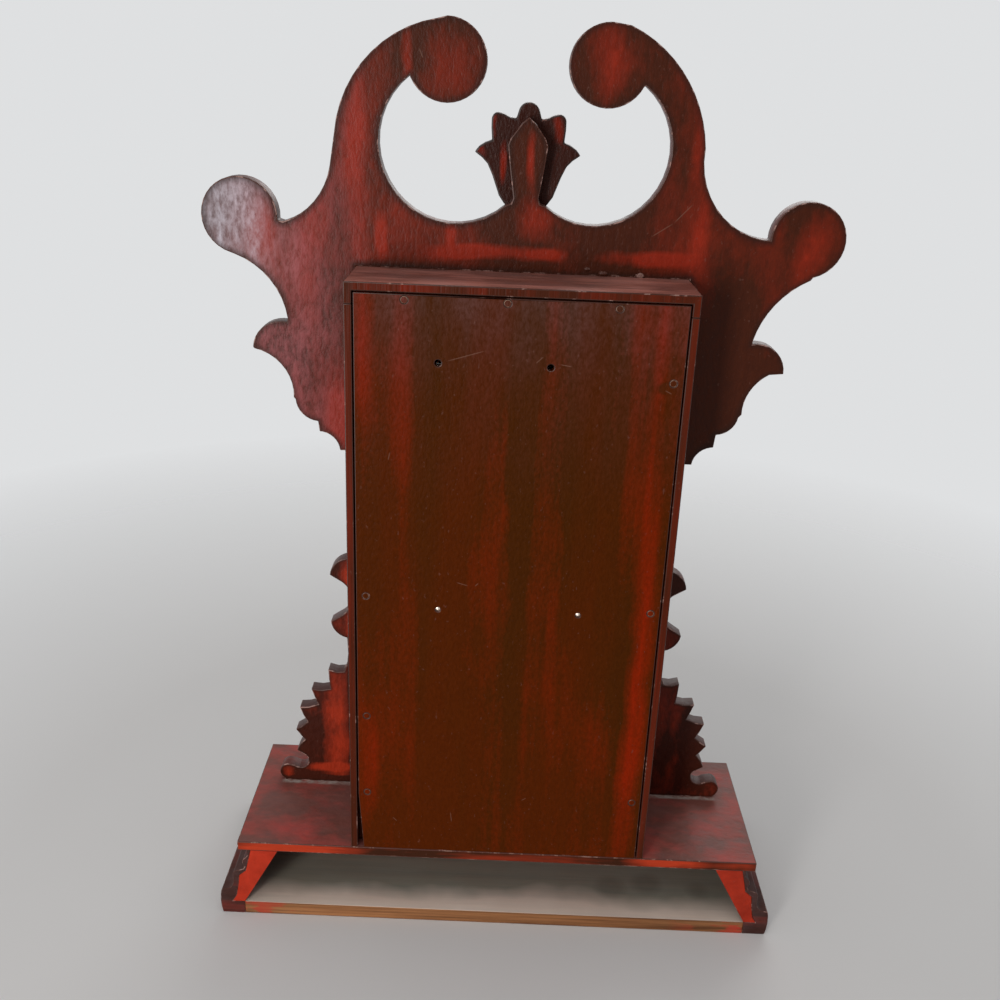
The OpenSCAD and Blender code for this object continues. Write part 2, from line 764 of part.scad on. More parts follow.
module hour_hand() {
    color([0.08, 0.08, 0.09]) slab(y_dial - 2, 0.8) translate(c_pos) difference() {
        union() {
            circle(r = 5.2);
            rotate(60) polygon([[0, -2], [hour_l - 17, -1.2], [hour_l - 17, 1.2], [0, 2]]);
            rotate(60) translate([hour_l - 14, 0]) circle(r = 5);
            rotate(60) polygon([[hour_l - 12, -4], [hour_l - 3, -0.8], [hour_l, 0], [hour_l - 3, 0.8], [hour_l - 12, 4]]);
        }
        circle(r = 2.9);
        rotate(60) translate([hour_l - 14, 0]) circle(r = 2.4);
    }
}

// Time train
module centre_wheel() {
    color([0.78, 0.62, 0.3]) union() {
        bar(c_pos, y_dial - 8.6, y_bp - 0.4, 1.5);
        bar(c_pos, y_bp - 1, y_bo, 0.7);
        bar(c_pos, y_fi + 11, y_fi + 16, 2.8);
        wheel(c_pos, y_fi + 12.4, 1.6, cen_n, cen_m, way(c_pos, th_pos), 4, 5, 0);
        lantern(c_pos, y_bp - 6.8, y_bp - 2.2, 10, sec_m, way(c_pos, ts_pos), 0);
    }
}

module main_wheel(p, ph, stud) {
    q = polar(p, 16.5, stud);
    union() {
        wheel(p, y_fi + 2.4, 2.5, main_n, main_m, ph, 0, 0, 3 + run);
        bar(q, y_fi + 4, y_fi + 7.4, 1);
        bar(q, y_fi + 7.3, y_fi + 7.9, 1.8);
    }
}

module time_main_wheel() {
    color([0.8, 0.64, 0.3]) main_wheel(tm_pos, way(tm_pos, ts_pos), 250);
}

module strike_main_wheel() {
    color([0.8, 0.64, 0.3]) main_wheel(sm_pos, way(sm_pos, ss_pos), 290);
}

module winding_arbor(p) {
    union() {
        bar(p, y_fp - 4, y_bo, 3);
        bar(p, y_fp - 16, y_fp - 3, 3.4, $fn = 4);
        bar(p, y_fi + 0.3, y_fi + 2.1, 4.4);
        slab(y_fi + 7.2, 2) translate(p) polygon([for (i = [0:15], j = [0, 1])
            (j == 0 ? 10 : 8) * [cos(22.5 * i + 4 * j), sin(22.5 * i + 4 * j)]]);
    }
}

module time_winding_arbor() {
    color([0.5, 0.5, 0.52]) winding_arbor(tm_pos);
}

module strike_winding_arbor() {
    color([0.5, 0.5, 0.52]) winding_arbor(sm_pos);
}

// pawl of a ratchet: hub on the wheel's stud, nose beside the tooth tips
module click(p, stud, s) {
    q = polar(p, 16.5, stud);
    nose = polar(p, 10.9, stud + s * 38);
    slab(y_fi + 7.2, 2) difference() {
        union() {
            translate(q) circle(r = 2.4);
            polygon([polar(q, 2.2, way(q, nose) + 90), polar(q, 2.2, way(q, nose) - 90),
                polar(nose, 0.5, way(q, nose) - 90), polar(nose, 0.5, way(q, nose) + 90)]);
        }
        translate(q) circle(r = 1 + run);
    }
}

module time_click() {
    color([0.55, 0.53, 0.5]) click(tm_pos, 250, 1);
}

module strike_click() {
    color([0.55, 0.53, 0.5]) click(sm_pos, 290, -1);
}

module second_wheel(p, main, next) {
    union() {
        arbor(p, 1.4);
        lantern(p, y_fi + 0.9, y_fi + 6.6, 10, main_m, way(p, main), 0);
        bar(p, y_bp - 7, y_bp - 3, 3);
        wheel(p, y_bp - 5.4, 1.6, sec_n, sec_m, way(p, next), 4.5, 4, 0);
    }
}

module time_second_wheel() {
    color([0.78, 0.62, 0.3]) second_wheel(ts_pos, tm_pos, c_pos);
}

module strike_second_wheel() {
    color([0.78, 0.62, 0.3]) second_wheel(ss_pos, sm_pos, st_pos);
}

module third_wheel() {
    color([0.78, 0.62, 0.3]) union() {
        arbor(th_pos, 1);
        lantern(th_pos, y_fi + 10.4, y_fi + 16, 7, cen_m, way(th_pos, c_pos), 0);
        bar(th_pos, y_fi + 19.4, y_fi + 23, 2.4);
        wheel(th_pos, y_fi + 20.4, 1.4, thi_n, thi_m, way(th_pos, es_pos), 3.6, 4, 0);
    }
}

module escape_wheel() {
    color([0.8, 0.66, 0.34]) union() {
        arbor(es_pos, 0.95);
        bar(es_pos, y_fp - 6, y_fp + 0.2, 0.7);
        bar(es_pos, y_fp - 5.6, y_fp - 2, 2);
        lantern(es_pos, y_fi + 18.4, y_fi + 24, 7, thi_m, way(es_pos, th_pos), 0);
        slab(y_fp - 3.2, 1.2) translate(es_pos) difference() {
            polygon([for (i = [0:esc_n - 1], j = [0:2])
                [esc_r, 13.6, 13.6][j] * [cos(8 * i + [0, 1.6, 6][j]), sin(8 * i + [0, 1.6, 6][j])]]);
            difference() {
                circle(r = 11.8);
                circle(r = 3.2);
                for (i = [0:3]) rotate(90 * i) translate([0, -0.9]) square([13, 1.8]);
            }
        }
    }
}

// Strike train
module strike_third_wheel() {
    color([0.78, 0.62, 0.3]) union() {
        arbor(st_pos, 1.2);
        lantern(st_pos, y_bp - 6.8, y_bp - 2.2, 10, sec_m, way(st_pos, ss_pos), 0);
        bar(st_pos, y_fi + 15.6, y_fi + 19, 2.4);
        wheel(st_pos, y_fi + 16.4, 1.4, sth_n, sth_m, way(st_pos, fl_pos), 3.6, 4, 0);
    }
}

module fly() {
    color([0.74, 0.58, 0.28]) union() {
        arbor(fl_pos, 0.9);
        lantern(fl_pos, y_fi + 14.4, y_fi + 19.8, 7, sth_m, way(fl_pos, st_pos), 0);
        bar(fl_pos, y_fi + 22.8, y_bp - 2.4, 1.5);
        box([fl_pos[0] - 11, y_fi + 23.4, fl_pos[1] - 0.3], [fl_pos[0] + 11, y_bp - 3, fl_pos[1] + 0.3]);
    }
}

// Pallet anchor with its crutch; the fork stands round the pendulum rod
fork_z = cz + 22;

module verge() {
    color([0.5, 0.5, 0.53]) union() {
        difference() {
            union() {
                bar(vg_pos, y_fp - 9.6, y_fp - 0.6, 2.4);
                slab(y_fp - 3, 1.6) translate(vg_pos) polygon([[-2.4, 2], [2.4, 2], [14.2, -5], [13.4, -10.2],
                    [12.2, -9.8], [12.4, -6.2], [1.8, -2], [-1.8, -2], [-12.4, -6.2], [-12.2, -9.8], [-13.4, -10.2], [-14.2, -5]]);
            }
            bar(vg_pos, y_fp - 11, y_fp, 1 + run);
        }
        translate([0, y_fp - 8.2, fork_z]) cylinder(r = 0.7, h = vg_pos[1] - fork_z - 1.6);
        box([-2.4, y_fp - 8.9, fork_z - 0.6], [2.4, y_fp - 7.5, fork_z + 0.6]);
        for (s = [-1, 1]) bar([s * 1.9, fork_z], y_fp - 13.6, y_fp - 8, 0.5);
    }
}

// Pendulum: wire rod with a jog round the hand arbor
rod_r = 0.8;
jog = -10;
rod_path = [[0, su_pos[1] - 1.9], [0, cz + 19], [jog, cz + 12], [jog, cz - 12], [0, cz - 19], [0, bob_z - bob_r - 14]];

module pendulum_rod() {
    color([0.72, 0.58, 0.3]) difference() {
        union() {
            bar(su_pos, y_rod - 1, y_rod + 1, 2.7);
            for (i = [0:4]) {
                a = rod_path[i];
                b = rod_path[i + 1];
                translate([a[0], y_rod, a[1]]) rotate([0, 90 - way(a, b), 0]) cylinder(r = rod_r, h = norm(b - a));
                if (i > 0) translate([a[0], y_rod, a[1]]) sphere(r = rod_r);
            }
        }
        bar(su_pos, y_rod - 3, y_rod + 3, 1.4 + run);
    }
}

module pendulum_bob() {
    color([0.8, 0.64, 0.3]) difference() {
        translate([0, y_rod, bob_z]) rotate([90, 0, 0]) rotate_extrude() polygon(concat([[0, -4]],
            arc(bob_r - 3, -0.4, 3, -80, 0, 4), arc(bob_r - 3, 0.4, 3, 0, 80, 4), [[bob_r - 8, 3], [bob_r - 10, 4.4], [0, 5]]));
        translate([0, y_rod, bob_z - bob_r - 2]) cylinder(r = rod_r + run, h = 2 * bob_r + 4);
    }
}

module rating_nut() {
    color([0.76, 0.6, 0.3]) translate([0, y_rod, bob_z - bob_r - 5.2]) difference() {
        union() {
            cylinder(r = 4.4, h = 3);
            translate([0, 0, 2.9]) cylinder(r = 2.2, h = 2.2);
        }
        translate([0, 0, -1]) cylinder(r = rod_r + run, h = 8);
    }
}

module hammer() {
    head = [-gong_r - 8.5, gz + 3];
    color([0.55, 0.53, 0.5]) union() {
        arbor(hm_pos, 1.2);
        bar(hm_pos, y_hit - 1.6, y_hit + 1.6, 2.6);
        translate([hm_pos[0], y_hit, hm_pos[1]]) rotate([0, 90 - way(hm_pos, head), 0]) cylinder(r = 0.8, h = norm(head - hm_pos));
        translate([head[0] - 5, y_hit, head[1]]) rotate([0, 90, 0]) cylinder(r = 4.4, h = 10);
    }
}

base_bottom_board();
base_cores();
base_moulding_left();
base_moulding_right();
base_moulding_front();
base_top_board();
case_side_left();
case_side_right();
case_top_board();
backboard();
backboard_nails();
crest_board();
finial_palmette();
side_ornament_left();
side_ornament_right();
case_hinge_leaves();
dial_cleats();
dial_pan();
dial_bezel();
dial_screws();
front_plate();
back_plate();
plate_pillars();
movement_screws();
suspension_post();
gong_block();
gong_coil();
mainsprings();
door_stile_left();
door_stile_right();
door_rail_top();
door_rail_bottom();
door_glass();
door_beads();
door_hinge_leaves();
latch_knob();
minute_hand();
cannon_pinion();
hour_hand();
hour_wheel();
minute_wheel();
centre_wheel();
time_main_wheel();
time_winding_arbor();
time_click();
time_second_wheel();
third_wheel();
escape_wheel();
verge();
pendulum_rod();
pendulum_bob();
rating_nut();
strike_main_wheel();
strike_winding_arbor();
strike_click();
strike_second_wheel();
strike_third_wheel();
fly();
hammer();
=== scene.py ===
# %% [markdown]
# A gingerbread clock is a cheap, showy kitchen clock: a plain softwood box dressed up with
# a scrolled crest, saw-toothed side pieces and a stepped base. This lesson dresses its
# packed solids, first as the picture shows it, from the back, and then all round.

# %% Load the solids
import json
import math

import bmesh
import bpy
import numpy as np
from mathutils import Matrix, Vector
from mathutils.geometry import delaunay_2d_cdt


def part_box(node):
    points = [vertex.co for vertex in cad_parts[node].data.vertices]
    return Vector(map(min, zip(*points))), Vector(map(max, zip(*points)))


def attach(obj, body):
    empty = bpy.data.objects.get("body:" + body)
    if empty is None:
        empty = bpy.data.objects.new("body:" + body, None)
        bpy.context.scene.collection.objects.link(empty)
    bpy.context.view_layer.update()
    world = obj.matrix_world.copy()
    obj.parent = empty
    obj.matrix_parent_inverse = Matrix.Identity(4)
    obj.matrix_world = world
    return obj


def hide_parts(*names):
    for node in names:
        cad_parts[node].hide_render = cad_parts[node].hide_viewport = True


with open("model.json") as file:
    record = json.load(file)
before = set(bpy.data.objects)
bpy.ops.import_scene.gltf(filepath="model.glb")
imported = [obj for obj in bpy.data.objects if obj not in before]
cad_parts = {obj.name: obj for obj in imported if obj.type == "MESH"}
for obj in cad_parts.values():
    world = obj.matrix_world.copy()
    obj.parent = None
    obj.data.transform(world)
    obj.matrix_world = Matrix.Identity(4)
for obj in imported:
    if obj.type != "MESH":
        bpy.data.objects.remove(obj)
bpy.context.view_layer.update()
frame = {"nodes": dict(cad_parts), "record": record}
scene = bpy.context.scene
MM = 0.001

# %% [markdown]
# The picture looks at the back of the clock from a little above its top, down at about 21
# degrees and with a slight roll. It was taken close by with a wide lens of 39 mm, so the
# case tapers downwards. Place, turn and lens are numbers, because a camera that is aimed
# by eye never gives quite the same taper.

# %% Camera
CAMERA_PLACE = (0.00638, 0.63353, 0.5301)
CAMERA_TURN = (68.4804, -2.1893, -179.0385)
SENSOR = 36
LENS_PER_SENSOR = 1.08194
camera = bpy.data.objects.new("camera", bpy.data.cameras.new("camera"))
scene.collection.objects.link(camera)
camera.location = CAMERA_PLACE
camera.rotation_euler = [math.radians(angle) for angle in CAMERA_TURN]
camera.data.sensor_width = SENSOR
camera.data.lens = SENSOR * LENS_PER_SENSOR
camera.data.clip_start = 0.01
scene.camera = camera
print("lens of", round(camera.data.lens), "mm")

# %% [markdown]
# Light and finishes are node trees, and most of their nodes only add, multiply or stretch
# a value. A small class makes that read like arithmetic: it holds a node's output, and each
# sign between two of them puts one more math node into the tree.

# %% Arithmetic with nodes
class Signal:
    """A node's output. + - * and abs() add math nodes to its tree, span() a Map Range node."""

    def __init__(self, socket):
        self.socket = socket
        self.tree = socket.id_data

    def __add__(self, other):
        return calc("ADD", self, other)

    def __sub__(self, other):
        return calc("SUBTRACT", self, other)

    def __rsub__(self, other):
        return calc("SUBTRACT", other, self)

    def __mul__(self, other):
        return calc("MULTIPLY", self, other)

    def __abs__(self):
        return calc("ABSOLUTE", self)

    def span(self, low, high, to_low=0.0, to_high=1.0):
        """Stretches the range from low to high to another one, clamped."""
        node = self.tree.nodes.new("ShaderNodeMapRange")
        put(node.inputs["Value"], self)
        node.inputs["From Min"].default_value = low
        node.inputs["From Max"].default_value = high
        node.inputs["To Min"].default_value = to_low
        node.inputs["To Max"].default_value = to_high
        return Signal(node.outputs[0])


def put(socket, value):
    """Links a signal to an input, or sets a number or a colour there."""
    if isinstance(value, Signal):
        value.tree.links.new(value.socket, socket)
    elif socket.type == "RGBA":
        socket.default_value = (*value, 1)
    else:
        socket.default_value = value


def calc(how, a, b=0.0):
    """One math node; a or b is a signal."""
    tree = a.tree if isinstance(a, Signal) else b.tree
    node = tree.nodes.new("ShaderNodeMath")
    node.operation = how
    put(node.inputs[0], a)
    put(node.inputs[1], b)
    return Signal(node.outputs[0])


def blend(share, a, b, how="MIX"):
    """Mixes two colours by a share; at least one of the three is a signal."""
    tree = next(part.tree for part in (share, a, b) if isinstance(part, Signal))
    node = tree.nodes.new("ShaderNodeMix")
    node.data_type = "RGBA"
    node.blend_type = how
    share_input, first, second = node.inputs[0], node.inputs[6], node.inputs[7]
    put(share_input, share)
    put(first, a)
    put(second, b)
    return Signal(node.outputs[2])


print("node arithmetic:", ", ".join(tool.__name__ for tool in (put, calc, blend)))

# %% [markdown]
# The light is a pale room: an even world, a tall window behind the camera on the left,
# whose reflection greys the left ear of the crest, and broad soft lamps overhead and in
# front. Light Path shows the camera, the metals and the glass a paler room than the one
# that lights the clock, so the background is pale and the paint stays dark.

# %% Room and lamps
ROOM_AS_LIGHT = ((0.8, 0.82, 0.85), 0.34)
ROOM_AS_SEEN = ((0.8, 0.81, 0.82), 0.92)
WARM_WHITE = (1, 0.98, 0.96)
scene.view_settings.view_transform = "Standard"
scene.world = bpy.data.worlds.new("pale_room")
scene.world.use_nodes = True
room = scene.world.node_tree
room.nodes.clear()
ray = room.nodes.new("ShaderNodeLightPath").outputs
in_metal_or_glass = calc("MAXIMUM", Signal(ray["Is Glossy Ray"]), Signal(ray["Is Transmission Ray"]))
either = room.nodes.new("ShaderNodeMixShader")
put(either.inputs[0], calc("MAXIMUM", Signal(ray["Is Camera Ray"]), in_metal_or_glass))
for place, (colour, strength) in enumerate((ROOM_AS_LIGHT, ROOM_AS_SEEN), start=1):
    glow = room.nodes.new("ShaderNodeBackground")
    put(glow.inputs["Color"], colour)
    put(glow.inputs["Strength"], strength)
    room.links.new(glow.outputs[0], either.inputs[place])
room.links.new(either.outputs[0], room.nodes.new("ShaderNodeOutputWorld").inputs[0])


def lamp(name, size, place, target, power, colour):
    """A rectangular soft lamp at place, facing target."""
    light = bpy.data.lights.new(name, "AREA")
    light.shape = "RECTANGLE"
    light.size, light.size_y = size
    light.energy = power
    light.color = colour
    body = bpy.data.objects.new(name, light)
    scene.collection.objects.link(body)
    body.location = place
    aim = Vector(target) - Vector(place)
    body.rotation_euler = aim.to_track_quat("-Z", "Y").to_euler()
    print("lamp", name, power, "W")


lamp("window", (0.3, 0.9), (0.74, 1.45, 0.36), (0.1, 0.02, 0.36), 15, (1, 0.97, 0.95))
lamp("ceiling", (1.6, 1.6), (0.2, 0.5, 1.9), (0, 0, 0.2), 9, WARM_WHITE)
lamp("far_fill", (1.4, 1.0), (-0.5, -1.5, 1.1), (0, 0, 0.3), 9, WARM_WHITE)

# %% [markdown]
# Every finish is built on Object coordinates, which are metres in the clock's own frame, so
# a brush stroke keeps its real width on every board. What all finishes share is noise of a
# given size, the place along an axis, and a bump of a real depth.

# %% Finishes in metres
class Finish:
    """A material in the making, with its node tree and its shader."""

    def __init__(self, name):
        self.material = bpy.data.materials.new(name)
        self.material.use_nodes = True
        self.tree = self.material.node_tree
        self.shader = self.tree.nodes["Principled BSDF"]

    def set(self, label, value):
        """Sets or links one input of the shader."""
        put(self.shader.inputs[label], value)

    def place(self):
        """The point in metres, as a socket."""
        return self.tree.nodes.new("ShaderNodeTexCoord").outputs["Object"]

    def along(self, axis):
        """The X, Y or Z place in metres."""
        split = self.tree.nodes.new("ShaderNodeSeparateXYZ")
        self.tree.links.new(self.place(), split.inputs[0])
        return Signal(split.outputs[axis])

    def cloud(self, scale, shift=0.0, detail=4.0, rough=0.6):
        """Noise with scale = (x, y, z) features per metre; shift picks another part of it."""
        mapping = self.tree.nodes.new("ShaderNodeMapping")
        mapping.inputs["Scale"].default_value = scale
        mapping.inputs["Location"].default_value = (shift, shift * 1.7, shift * 0.6)
        noise = self.tree.nodes.new("ShaderNodeTexNoise")
        noise.inputs["Scale"].default_value = 1
        noise.inputs["Detail"].default_value = detail
        noise.inputs["Roughness"].default_value = rough
        self.tree.links.new(self.place(), mapping.inputs["Vector"])
        self.tree.links.new(mapping.outputs[0], noise.inputs["Vector"])
        return Signal(noise.outputs["Fac"])

    def dent(self, height, depth):
        """Bump of a real depth in metres."""
        node = self.tree.nodes.new("ShaderNodeBump")
        node.inputs["Strength"].default_value = 1
        node.inputs["Distance"].default_value = depth
        put(node.inputs["Height"], height)
        self.tree.links.new(node.outputs[0], self.shader.inputs["Normal"])


print("a finish has", [name for name in vars(Finish) if not name.startswith("_")])

# %% [markdown]
# The old finish is two coats: a bright red ground, and a thin umber glaze dragged over it
# with a stiff brush. The boldest strokes were laid by hand where the brush was full or ran
# dry, so each board lists its own. A stroke could be a painted mask, but a soft box in
# metres with a wavering edge needs no picture and stays sharp from any distance.

# %% Strokes, scratches and a painted highlight
STROKE_DRIFT = 0.6
SCRATCH_HALF = 0.35
SCRATCH_SHARE = 0.55


def brush_stroke(x, z, wobble, stroke):
    """A soft-edged stroke: centre x, z, half width and half height in mm, strength."""
    at_x, at_z, half_x, half_z, strength = stroke
    off_x = abs(x - at_x * MM + wobble)
    off_z = abs(z - at_z * MM + wobble * STROKE_DRIFT)
    across = off_x.span(half_x * 1.3 * MM, half_x * 0.3 * MM)
    down = off_z.span(half_z * 1.4 * MM, half_z * 0.3 * MM, 0, strength)
    return across * down


def scratch(x, z, line):
    """A thin pale scratch from x0, z0 to x1, z1 (mm), fading at its ends; on the back one such line is a
    painted highlight on a nail head.
    """
    start, end = Vector(line[:2]), Vector(line[2:])
    run = (end - start).normalized()
    half = (end - start).length / 2 * MM
    off_x, off_z = x - start.x * MM, z - start.y * MM
    gone = off_x * run.x + off_z * run.y
    side = off_z * run.x - off_x * run.y
    thin = abs(side).span(SCRATCH_HALF * MM, 0.1 * MM)
    return thin * abs(gone - half).span(half, half * 0.6, 0, SCRATCH_SHARE)


print("scratches", 2 * SCRATCH_HALF, "mm wide at most")

# %% [markdown]
# A hundred years of kitchen air lie on the paint: dirt in the corners that a duster can't
# reach, varnish gone grey, with a painted sheen where the window's reflection falls, and
# outlines darkened by hands. Each of them is one more layer mixed over the colour, so that a
# board takes only the ones it has.

# %% Dirt, bloom with a painted sheen, and dark rims
CORNER_DIRT = (0.42, 0.36, 0.32)
BLOOM_SHEEN_RED = (0.42, 0.125, 0.135)
BLOOM_SHEEN_SILVER = (0.52, 0.48, 0.53)
RIM_DARK = (0.02, 0.008, 0.005)
NEAR_EDGE = "edge_near"


def corner_dirt(coat, colour, x, shift, line):
    """A line of dirt across the board: y, half width, and from and to x on both sides, in mm."""
    at_y, half, from_x, to_x = line
    off = abs(coat.along(1) - at_y * MM)
    aside = abs(x)
    dirt = off.span(half * MM, half * 0.3 * MM)
    dirt = dirt * aside.span(to_x * MM, (to_x - 3) * MM)
    dirt = dirt * aside.span((from_x - 1) * MM, from_x * MM)
    crumbs = coat.cloud((160, 260, 160), shift + 13, 4, 0.7)
    return blend(dirt * crumbs.span(0.35, 0.6, 0.05, 1), colour, CORNER_DIRT)


def bloom_and_window_sheen(coat, colour, fine, z, shift, reach):
    """Greyed varnish and a painted sheen of the window's reflection: axis, from, to in metres, amount, and
    the height where it turns silver.
    """
    axis, start, end, amount, height = reach
    where = coat.along(axis)
    sheen_haze = where.span(start, end, 0, amount)
    sheen_haze = sheen_haze * coat.cloud((60, 60, 16), shift + 9, 5, 0.7).span(0.3, 0.62)
    sheen_haze = sheen_haze * fine.span(0.34, 0.62, 0.35, 1.0)
    sheen_silver = where.span((start + end) / 2, end + 0.005) * z.span(height - 0.01, height + 0.02)
    return blend(sheen_haze, colour, blend(sheen_silver, BLOOM_SHEEN_RED, BLOOM_SHEEN_SILVER))


def dark_rim(coat, colour, patch, amount):
    """Darkens the outline, raggedly. The mesh says how near the edge is."""
    near = coat.tree.nodes.new("ShaderNodeAttribute")
    near.attribute_name = NEAR_EDGE
    ragged = Signal(near.outputs["Fac"]) + (patch - 0.5) * 1.1
    return blend(ragged.span(0.35, 1.05, 0, amount), colour, RIM_DARK)


print("layers of age:", ", ".join(layer.__name__ for layer in (corner_dirt, bloom_and_window_sheen, dark_rim)))

# %% [markdown]
# The paint itself is a noise stretched along the brush strokes that mixes the two coats,
# with a broader one for thin patches. A finer noise stands for the bristle marks: it breaks
# the streaks, and also drives the bump and the gloss.

# %% Streaked paint
RED = (0.2, 0.0135, 0.004)
UMBER = (0.044, 0.0115, 0.0035)
SCRATCH_AND_HIGHLIGHT = (0.2, 0.1, 0.07)
FLECK = (0.2, 0.1, 0.08)
DUST = (0.17, 0.13, 0.13)
COAT_ROUGH = 0.34


def bristle_marks(strokes):
    """Features per metre of the bristle marks in strokes of that size."""
    return tuple(s * 5 if s > 20 else s * 2.2 for s in strokes)


def streaked_paint(name, strokes, red_from, red_to, shift, gloss, red=RED, umber=UMBER, shade=None,
                   bristle=None, coarse=0.0005, laid=(), scratches=(), dust=0.0, dirt_line=None,
                   bloom_sheen=None, rim=0.0):
    """Umber dragged over red. strokes: streaks per metre along x, y and z; red_from, red_to: the noise
    at which red starts and is full; shade: a second umber in broad bands; coarse: depth of the bristle
    marks; laid: strokes laid by hand; rim: how dark the outline is; the rest is told by its layers."""
    coat = Finish(name)
    broad = coat.cloud(strokes, shift, 4, 0.55)
    fine = coat.cloud(bristle or bristle_marks(strokes), shift + 3, 3, 0.6)
    patch = coat.cloud((17, 17, 10), shift + 7, 3, 0.55)
    x, z = coat.along(0), coat.along(2)
    wobble = (coat.cloud((9, 9, 9), shift + 5, 3, 0.6) - 0.5) * 0.022
    broken = broad.span(0.3, 0.62, 0.45, 1.15)
    bare = broad * 0.6 + patch * 0.4 + (fine - 0.5) * 0.1
    for stroke in laid:
        bare = bare + brush_stroke(x, z, wobble, stroke) * broken
    ground = umber
    if shade:
        bands = coat.cloud((24, 24, 3), shift + 15, 3, 0.5)
        ground = blend(bands.span(0.42, 0.62), umber, shade)
    colour = blend(bare.span(red_from, red_to), ground, red)
    colour = blend(1.0, colour, fine.span(0.25, 0.75, 0.86, 1.12), "MULTIPLY")
    # Pale lines: scratches, and on the back one painted highlight on a nail head.
    for line in scratches:
        colour = blend(scratch(x, z, line), colour, SCRATCH_AND_HIGHLIGHT)
    flecks = coat.cloud((620, 620, 420), shift + 2, 2, 0.5)
    colour = blend(flecks.span(0.68, 0.76, 0, 0.24), colour, FLECK)
    if dust:
        settled = coat.cloud((34, 60, 34), shift + 11, 5, 0.7)
        colour = blend(settled.span(0.42, 0.72, 0, dust), colour, DUST)
    if dirt_line:
        colour = corner_dirt(coat, colour, x, shift, dirt_line)
    # The bloom greys the colour: partly varnish bloom, partly a painted sheen of the window's reflection.
    if bloom_sheen:
        colour = bloom_and_window_sheen(coat, colour, fine, z, shift, bloom_sheen)
    if rim:
        colour = dark_rim(coat, colour, patch, rim)
    coat.set("Base Color", colour)
    coat.set("Roughness", fine.span(0.2, 0.8, COAT_ROUGH - 0.06, COAT_ROUGH + 0.14))
    coat.set("Specular IOR Level", gloss)
    coat.dent(fine, coarse)
    return coat.material


print("streaks of 90, 40 and 5 per metre have bristle marks of", bristle_marks((90, 40, 5)))

# %% [markdown]
# These are the strokes and scratches that the picture shows, board by board, in mm from
# the middle of the foot. A stroke of negative strength is a place where the umber lies
# thick and hides the red; the broad one on the right of the crest is painted shade. One
# line among the scratches of the back is a painted highlight on a nail head.

# %% Strokes laid by hand
BACK_STROKES = [
    (-80, 160, 8, 130, 0.5), (-72, 350, 18, 90, 0.17), (-75, 372, 3, 55, 0.1), (-82, 374, 6, 2.6, -0.4),
    (-54, 170, 5, 80, 0.07), (-30, 205, 5, 75, 0.12), (-19, 398, 9, 30, 0.07), (11, 260, 9, 100, 0.05),
    (86, 392, 4, 38, 0.12), (84, 125, 5, 42, 0.2), (-41, 345, 10, 95, -0.3), (-2, 350, 7, 80, -0.2),
    (30, 120, 12, 60, -0.2), (38, 352, 17, 115, -0.18), (57, 372, 5, 90, -0.1)]
# The broad negative stroke at x -122, z 378 is painted shade: the crest's right body lies darker, away from
# the window.
CREST_STROKES = [
    (18, 435, 34, 4, 0.5), (-14, 435, 9, 3, 0.36), (-68, 436, 26, 4, 0.5), (96, 465, 7, 40, 0.24),
    (82, 443, 4, 11, 0.4), (115, 440, 11, 34, 0.18), (127, 405, 10, 36, 0.16), (106, 334, 8, 26, 0.28),
    (148, 440, 10, 19, 0.26), (-97, 453, 6, 30, 0.22), (-160, 447, 9, 17, 0.24), (-47, 532, 14, 18, 0.24),
    (0, 484, 12, 22, -0.15), (-2, 486, 2.5, 12, 0.5), (-6, 457, 11, 12, 0.3), (131, 352, 7, 15, 0.16),
    (-89, 492, 4, 32, 0.16), (45, 530, 14, 16, 0.12), (95, 510, 5, 30, 0.16), (67, 540, 3, 13, 0.4),
    (41, 446, 3, 10, 0.32), (-122, 378, 26, 60, -0.2), (60, 425, 40, 6, -0.1)]
ORNAMENT_STROKES = [
    (115, 106, 8, 40, 0.38), (124, 71, 22, 3, 0.34), (152, 66, 4, 5, 0.2), (124, 61, 40, 3, -0.4),
    (101, 112, 5, 52, -0.34), (-120, 100, 4, 26, 0.2), (102, 216, 6, 14, 0.3), (101, 182, 4, 10, 0.2)]
LOBE_STROKES = [(18, 504, 3, 7, 0.34), (-18, 503, 3, 7, 0.3), (26, 491, 3, 4, 0.24), (12, 482, 2, 13, 0.24)]
RIM_STROKES = [
    (130, 55, 40, 6, 0.5), (-118, 55, 30, 6, 0.46), (-158, 55, 12, 6, 0.24), (-30, 53, 50, 4, 0.16)]
# The line from x -80, z 373 to x -84, z 371 is a painted highlight on a nail head, not a scratch.
BACK_SCRATCHES_AND_HIGHLIGHT = [
    (40, 384, 18, 391), (-13, 389, -9, 385), (-22, 385, -29, 384), (70, 331, 71, 326), (-80, 373, -84, 371),
    (24, 250, 31, 252), (18, 252, 20, 250), (30, 81, 31, 89), (68, 83, 65, 80), (-14, 100, -17, 102)]
CREST_SCRATCHES = [(-71, 448, -83, 456), (-83, 456, -93, 467), (60, 541, 58, 536), (29, 544, 27, 537)]
print("strokes on the back", len(BACK_STROKES), "and on the crest", len(CREST_STROKES))

# %% [markdown]
# The whole clock was painted from two pots, yet each board came out its own way: the
# back long and thin, the crest blotchy and greyed, partly by a painted sheen, the base dusty.
# The tops of the case and the base are also paler and greyer, a painted sheen of the bright
# room they reflect. So every board has its own paint from the same recipe, with its own
# streaks, tones and gloss.

# %% Paint of each board
PEBBLE = (420, 420, 200)
ORNAMENT_FOOT_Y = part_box("side_ornament_right")[1].y / MM
